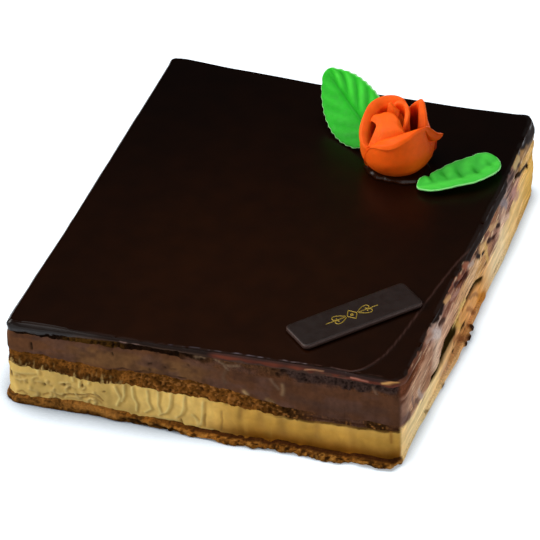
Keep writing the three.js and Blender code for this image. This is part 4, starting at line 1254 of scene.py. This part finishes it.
def leaf_piece(name, material):
    """Thin leaf with pressed veins, dents, a toothed margin and a pale rim."""
    leaf = LEAVES[name]
    flat, dents, (low, high) = leaf["flat"], leaf["dents"], leaf["span"]
    part = 0.5 - 0.5 * np.cos(np.linspace(0.03, 0.97, LEAF_COLUMNS) * math.pi)[:, None]
    across = np.sin(np.linspace(-1, 1, LEAF_ROWS) * math.pi / 2)[None, :]
    reach = np.abs(across)
    x = mix(low, high, part)
    from_end = np.minimum(x - low, high - x)
    cap = np.sqrt(1 - np.clip(1 - from_end / leaf["cap"], 0, 1) ** 2)
    left, right = (spline(leaf[side], part.ravel())[:, None] for side in ("left", "right"))
    middle, half = (left + right) / 2, (left - right) / 2 * cap
    bite = leaf["bite"] * (0.5 + 0.5 * np.cos(2 * math.pi * leaf["teeth"] * part))
    # The first dent nicks the margin too.
    for a, _, _ in dents[:1]:
        bite = bite + 1.5 * np.exp(-(((x - a) / 0.7) ** 2)) * (across > 0)
    y = middle + across * (half - bite * reach**6)
    off = y - middle
    ribs, folds = (np.where(across > 0, *leaf[key]) for key in ("ribs", "folds"))
    pillow = 0.5 - 0.5 * np.cos(2 * math.pi * leaf["veins"] * (part - leaf["slant"] * reach))
    fade = smooth(reach * 2.5) * smooth((1 - reach) * 2.2 + 0.2) * smooth(part * 6) * smooth((1 - part) * 6)
    midrib = np.exp(-((off / mix(0.9, 2.2, flat)) ** 2)) * smooth((1 - part) * 5) * (1 - 0.8 * flat)
    dent = 0 * y
    for a, b, depth in dents:
        skew = (x - a) + 0.1 * (y - b)
        dent = dent + depth * np.exp(-((skew / 1.3) ** 2) - ((y - b - 0.8) / 2.9) ** 2)
    z = folds * np.maximum(np.abs(off) - 0.8, 0) + ribs * (pillow - 0.6) * fade
    z = z + 0.3 * noise(x + 40, y, 9, 811) - 0.45 * midrib - 0.8 * dent
    z = z + leaf["bend"] * (2 * part - 1) ** 2
    edge = np.minimum((1 - reach) * half, from_end * 0.8)
    veined = fade * ribs / max(leaf["ribs"])
    lower = flat * smooth((0.25 - across) / 0.5) * smooth(1.1 - reach)
    # Painted highlight on the strips between the veins and on the small leaf's lower half.
    colour = over(linear(LEAF_COLOUR), LEAF_HIGHLIGHT, 0.8 * np.maximum(pillow * veined, lower))
    groove = (1 - pillow) * veined * (1 - flat)
    # Painted shade in the veins, the midrib and the dents.
    colour = over(colour, LEAF_VEIN_SHADE, 0.55 * groove + 0.6 * midrib + 0.75 * dent)
    colour = over(colour, LEAF_RIM, 0.75 * smooth((0.6 - edge) / 0.45))
    colour = lit(colour, -0.35 * smooth((0.6 - part) / 0.5) * (1 - flat))
    colour = over(colour, LEAF_PALE, 0.24 * flat * (1 - 0.9 * np.clip(dent, 0, 1)))
    thickness = LEAF_THICKNESS * np.sqrt(np.clip(edge / 0.9, 0.12, 1))
    points, faces = sheet(np.stack(np.broadcast_arrays(x, y, z), -1), thickness)
    tint = np.concatenate([colour.reshape(-1, 3)] * 2)
    points = points @ leaf_turn(leaf).T + leaf["base"]
    new_piece(name + "_look", points, faces, material, name, tint)


# --- plaque, ink, dab

PLAQUE_GRID = 0.3
PLAQUE_ROUNDS = 3

def softened(node, voxel, rounds):
    """Fine even mesh of a CAD node, voxel millimetres to a face, smoothed that many rounds."""
    work = add_object("work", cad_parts[node].data.copy())
    steps = {
        "WELD": dict(merge_threshold=0.01 * MM),
        "REMESH": dict(mode="VOXEL", voxel_size=voxel * MM),
        "SMOOTH": dict(factor=0.5, iterations=rounds),
    }
    for kind, settings in steps.items():
        modifier = work.modifiers.new(kind, kind)
        for key, value in settings.items():
            setattr(modifier, key, value)
    mesh = bpy.data.meshes.new_from_object(work.evaluated_get(bpy.context.evaluated_depsgraph_get()))
    bpy.data.objects.remove(work)
    mesh.materials.clear()
    return mesh


def plaque_piece(material):
    """The plaque, with a painted highlight making its bevel lighter than its top."""
    mesh = softened("chocolate_plaque", PLAQUE_GRID, PLAQUE_ROUNDS)
    low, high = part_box("chocolate_plaque")
    ups, heights = np.array([(v.normal.z, v.co.z) for v in mesh.vertices]).T
    bevel = smooth((0.97 - ups) / 0.3) * smooth((heights - low[2]) / (high[2] - low[2]) * 2)
    tint = tones(PLAQUE_COLOUR, PLAQUE_BEVEL_HIGHLIGHT, 0.8 * bevel)
    dress("chocolate_plaque_look", mesh, material, "chocolate_plaque", tint)


# Gold ornament on the plaque, in its own plane: along its length, then across.
PLAQUE_HEADING = 47.8
INK_WIDTH = 0.44
BEAD_WIDTH = 0.8
INK_LIFT = 0.02
INK_HEIGHT = 0.2
INK_MIDDLE = (-1.0, 0.0)


def scroll(side, up):
    """Stem that leaves the lozenge to one side and curls outwards at its end."""
    steps = np.linspace(0, 1, 30)
    stem = [(2.6 + 4.4 * s, 0.25 + 2.2 * math.sin(0.5 * math.pi * s)) for s in steps[:-1]]
    turns = zip(1.35 * (1 - 0.6 * steps), steps * 3.1 * math.pi / 2)
    curl = [(7.0 + r * math.sin(a), 1.1 + r * math.cos(a)) for r, a in turns]
    return np.array(stem + curl) * (side, up)


def ink_stroke(path, width):
    """Flat rounded bead of ink along a path, as points and faces on the plane z = 0."""
    path = np.array(path)
    ahead = unit(np.gradient(path, axis=0))
    side = np.stack([-ahead[:, 1], ahead[:, 0]], -1)
    turns = np.linspace(0, 2 * math.pi, 11)[:-1, None]
    steps = np.arange(len(path))
    taper = np.sqrt(np.clip(np.minimum(steps, steps[::-1]) / 2 + 0.15, 0, 1))
    sections = [
        np.hstack([place + 0.5 * width * thin * np.cos(turns) * out, INK_HEIGHT * thin * np.sin(turns)])
        for place, out, thin in zip(path, side, taper)
    ]
    return hull(np.array(sections)[:, ::-1])


def ornament_piece(material):
    """Lozenge round a bead, with a line and two scrolls on each side of it."""
    corners = np.array([(-2.2, 0), (0, 3.0), (2.2, 0), (0, -3.0), (-2.2, 0)])
    lozenge = [mix(a, b, s) for a, b in zip(corners, corners[1:]) for s in np.arange(0, 1, 0.1)]
    bead = [(0.42 * math.cos(a), 0.42 * math.sin(a)) for a in np.linspace(0, 2 * math.pi, 12)]
    strokes = [ink_stroke(lozenge + [corners[0]], INK_WIDTH), ink_stroke(bead, BEAD_WIDTH)]
    for side in (-1, 1):
        line = [(side * (3.0 + 8.6 * s), 0.0) for s in np.linspace(0, 1, 30)]
        strokes += [ink_stroke(path, INK_WIDTH) for path in (line, scroll(side, -1), scroll(side, 1))]
    starts = np.cumsum([0] + [len(made) for made, _ in strokes])
    faces = [np.concatenate([parts[k] + start for (_, parts), start in zip(strokes, starts)]) for k in (0, 1)]
    low, high = (np.array(corner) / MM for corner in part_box("chocolate_plaque"))
    turn = math.radians(PLAQUE_HEADING)
    along, up = (math.cos(turn), math.sin(turn), 0), (-math.sin(turn), math.cos(turn), 0)
    flat = np.concatenate([made for made, _ in strokes]) + (*INK_MIDDLE, INK_LIFT)
    placed = np.append((low + high)[:2] / 2, high[2]) + flat @ np.array([along, up, (0, 0, 1)])
    new_piece("plaque_ornament", placed, faces, material, "chocolate_plaque", linear(GOLD))


# Dab of glaze that the rose sits in: angle round the rose's axis and reach.
DAB = [
    (-180, 12), (-120, 12.4), (-66, 14), (-29, 13.8), (0, 15), (27, 16.8), (45, 16.2), (85, 13), (130, 12.2),
]
DAB_HEIGHT = 1.3
DAB_SUNK = 0.95
DAB_ROUGHNESS = 0.25


def dab_piece(material):
    """The dab, with an uneven edge and a slightly rippled top."""
    angles, reaches = np.array(DAB).T
    turns = np.linspace(-180, 180, 241)[:-1]
    around = np.radians(turns)
    reach = np.interp(turns, angles, reaches, period=360)
    reach = reach + 0.35 * np.sin(7 * around) + 0.2 * np.sin(17 * around + math.radians(40))
    rings = []
    for part in (1.0, 1.01, 0.99, 0.96, 0.92, 0.88, 0.82, 0.7, 0.4):
        fall = smooth((1.0 - part) / 0.12)
        rise = DAB_HEIGHT * (0 if part == 1.0 else 0.25 + 0.75 * fall)
        height = rise + 0.12 * np.sin(11 * around) * fall - DAB_SUNK
        rings.append(np.stack([reach * part * np.sin(around), reach * part * np.cos(around), height], -1))
    rings.append([(0, 0, -DAB_SUNK), (0, 0, DAB_HEIGHT - DAB_SUNK)])
    faces = [f[:, ::-1] for f in ring_faces(len(rings) - 1, len(turns))]
    # The dab's tint is the glaze's made lighter: a painted sheen.
    points, tint = on_rose(np.concatenate(rings)), linear(GLAZE) * 1.4
    new_piece("rose_dab", points, faces, material, "chocolate_glaze", tint, DAB_ROUGHNESS)


# --- assembly

crumb_dark = crumb_material("sponge_soaked")
cream_look = material(
    "buttercream", ((3.0, 3, 0.6), 0.93, 1.07), ((1.1, 3), 0.3, 0.18), ((2.0,), 0.42, 0.6),
    Specular_IOR_Level=0.0, **soft(0.2, 0.8, (1.0, 0.6, 0.3)),
)
ganache_look = material(
    "ganache", ((1.6, 4, 0.4), 0.88, 1.12), ((0.8, 4), 0.35, 0.15), ((2.5,), 0.6, 0.8),
    Specular_IOR_Level=0.02,
)
glaze_look = material(
    "glaze", ((9.0, 2), 0.85, 1.15), ((14.0, 1), 0.08, 0.3), "gloss", Specular_IOR_Level=0.15
)
plaque_look = material(
    "dark_chocolate", ((2.2, 3), 0.9, 1.12), ((1.3, 3), 0.2, 0.1), ((3.0,), 0.4, 0.54),
    Specular_IOR_Level=0.3,
)
gold_look = material(
    "gold_ink", ((0.8, 3), 0.85, 1.2), ((0.6, 2), 0.3, 0.05), 0.38, Metallic=0.35
)
layer_piece(0, crumb_material("sponge"))
layer_piece(1, cream_look)
layer_piece(2, crumb_dark)
layer_piece(3, ganache_look)
layer_piece(4, crumb_dark)
layer_piece(5, glaze_look)
dab_piece(glaze_look)

rose_paste = paste_material("rose_paste", (1.0, 0.35, 0.1))
leaf_paste = paste_material("leaf_paste", (0.4, 1.0, 0.4))
for name in [*ROLLED, *HOODS]:
    rose_piece(name, rose_paste)
for name in LEAVES:
    leaf_piece(name, leaf_paste)
plaque_piece(plaque_look)
ornament_piece(gold_look)

# --- floor, light, view

FLOOR_HALF = 6.0

# Soft square lights aimed at the cake's middle: place, width, power and colour.
AIM = Vector((0, 0, 0.02))
LIGHTS = {
    "key": ((-1.15, -0.4, 1.0), 0.8, 21, (1.0, 0.98, 0.95)),
    "side": ((1.3, -0.3, 0.4), 0.8, 5, (1.0, 0.99, 1.0)),
    "front": ((-0.35, -1.35, 0.35), 0.8, 2.8, (1.0, 1.0, 1.0)),
    "top": ((-0.1, 0.1, 1.5), 1.2, 13, (1.0, 1.0, 1.0)),
}

# Camera of the photograph: its place in millimetres, and the way to its right
# and back, fitted to the slab's corners.
CAMERA_PLACE = Vector((390.4, -1104.74, 871.41))
CAMERA_RIGHT = Vector((0.9493, 0.3126, -0.0347))
CAMERA_BACK = Vector((0.2715, -0.7587, 0.5922))
CAMERA_LENS = 240.392


def make_light(name, place, width, power, colour):
    light = bpy.data.lights.new(name, "AREA")
    light.size, light.energy, light.color = width, power, colour
    lamp = add_object(name, light)
    lamp.location = place
    lamp.rotation_euler = (AIM - Vector(place)).to_track_quat("-Z", "Y").to_euler()


def make_floor():
    """Wide floor that glows white, with a shade close to the cake, wider and darker at the left."""
    mesh = bpy.data.meshes.new("floor")
    h = FLOOR_HALF
    mesh.from_pydata([(-h, -h, 0), (h, -h, 0), (h, h, 0), (-h, h, 0)], [], [(0, 1, 2, 3)])
    floor = add_object("floor", mesh)
    shader = Shader("floor")
    across = shader.node("SeparateXYZ", "X", Vector=shader.node("TexCoord", "Object"))
    reach = shader.ranged(across, -0.02, 0.05, 20 * MM, 7 * MM)
    near = shader.node("AmbientOcclusion", "AO", samples=8, Distance=reach)
    darkest = shader.ranged(across, -0.02, 0.06, 0.0, 0.36)
    shader.set(
        Base_Color=(0.28, 0.32, 0.37, 1), Roughness=0.9, Specular_IOR_Level=0.0,
        Emission_Color=(0.92, 0.97, 1.0, 1), Emission_Strength=shader.ranged(near, 0.5, 0.92, darkest, 1.0),
    )
    mesh.materials.append(shader.material)


def make_world():
    world = bpy.data.worlds.new("world")
    world.use_nodes = True
    back = world.node_tree.nodes["Background"]
    back.inputs["Color"].default_value = (0.9, 0.95, 1.0, 1)
    back.inputs["Strength"].default_value = 0.03
    bpy.context.scene.world = world


def make_camera():
    right, back = CAMERA_RIGHT.normalized(), CAMERA_BACK.normalized()
    camera = add_object("camera", bpy.data.cameras.new("camera"))
    turn = Matrix((right, back.cross(right), back)).transposed().to_4x4()
    camera.matrix_world = Matrix.Translation(CAMERA_PLACE * MM) @ turn
    camera.data.lens = CAMERA_LENS
    bpy.context.scene.camera = camera


make_floor()
make_world()
for name, settings in LIGHTS.items():
    make_light(name, *settings)
make_camera()
bpy.context.scene.view_settings.view_transform = "Standard"
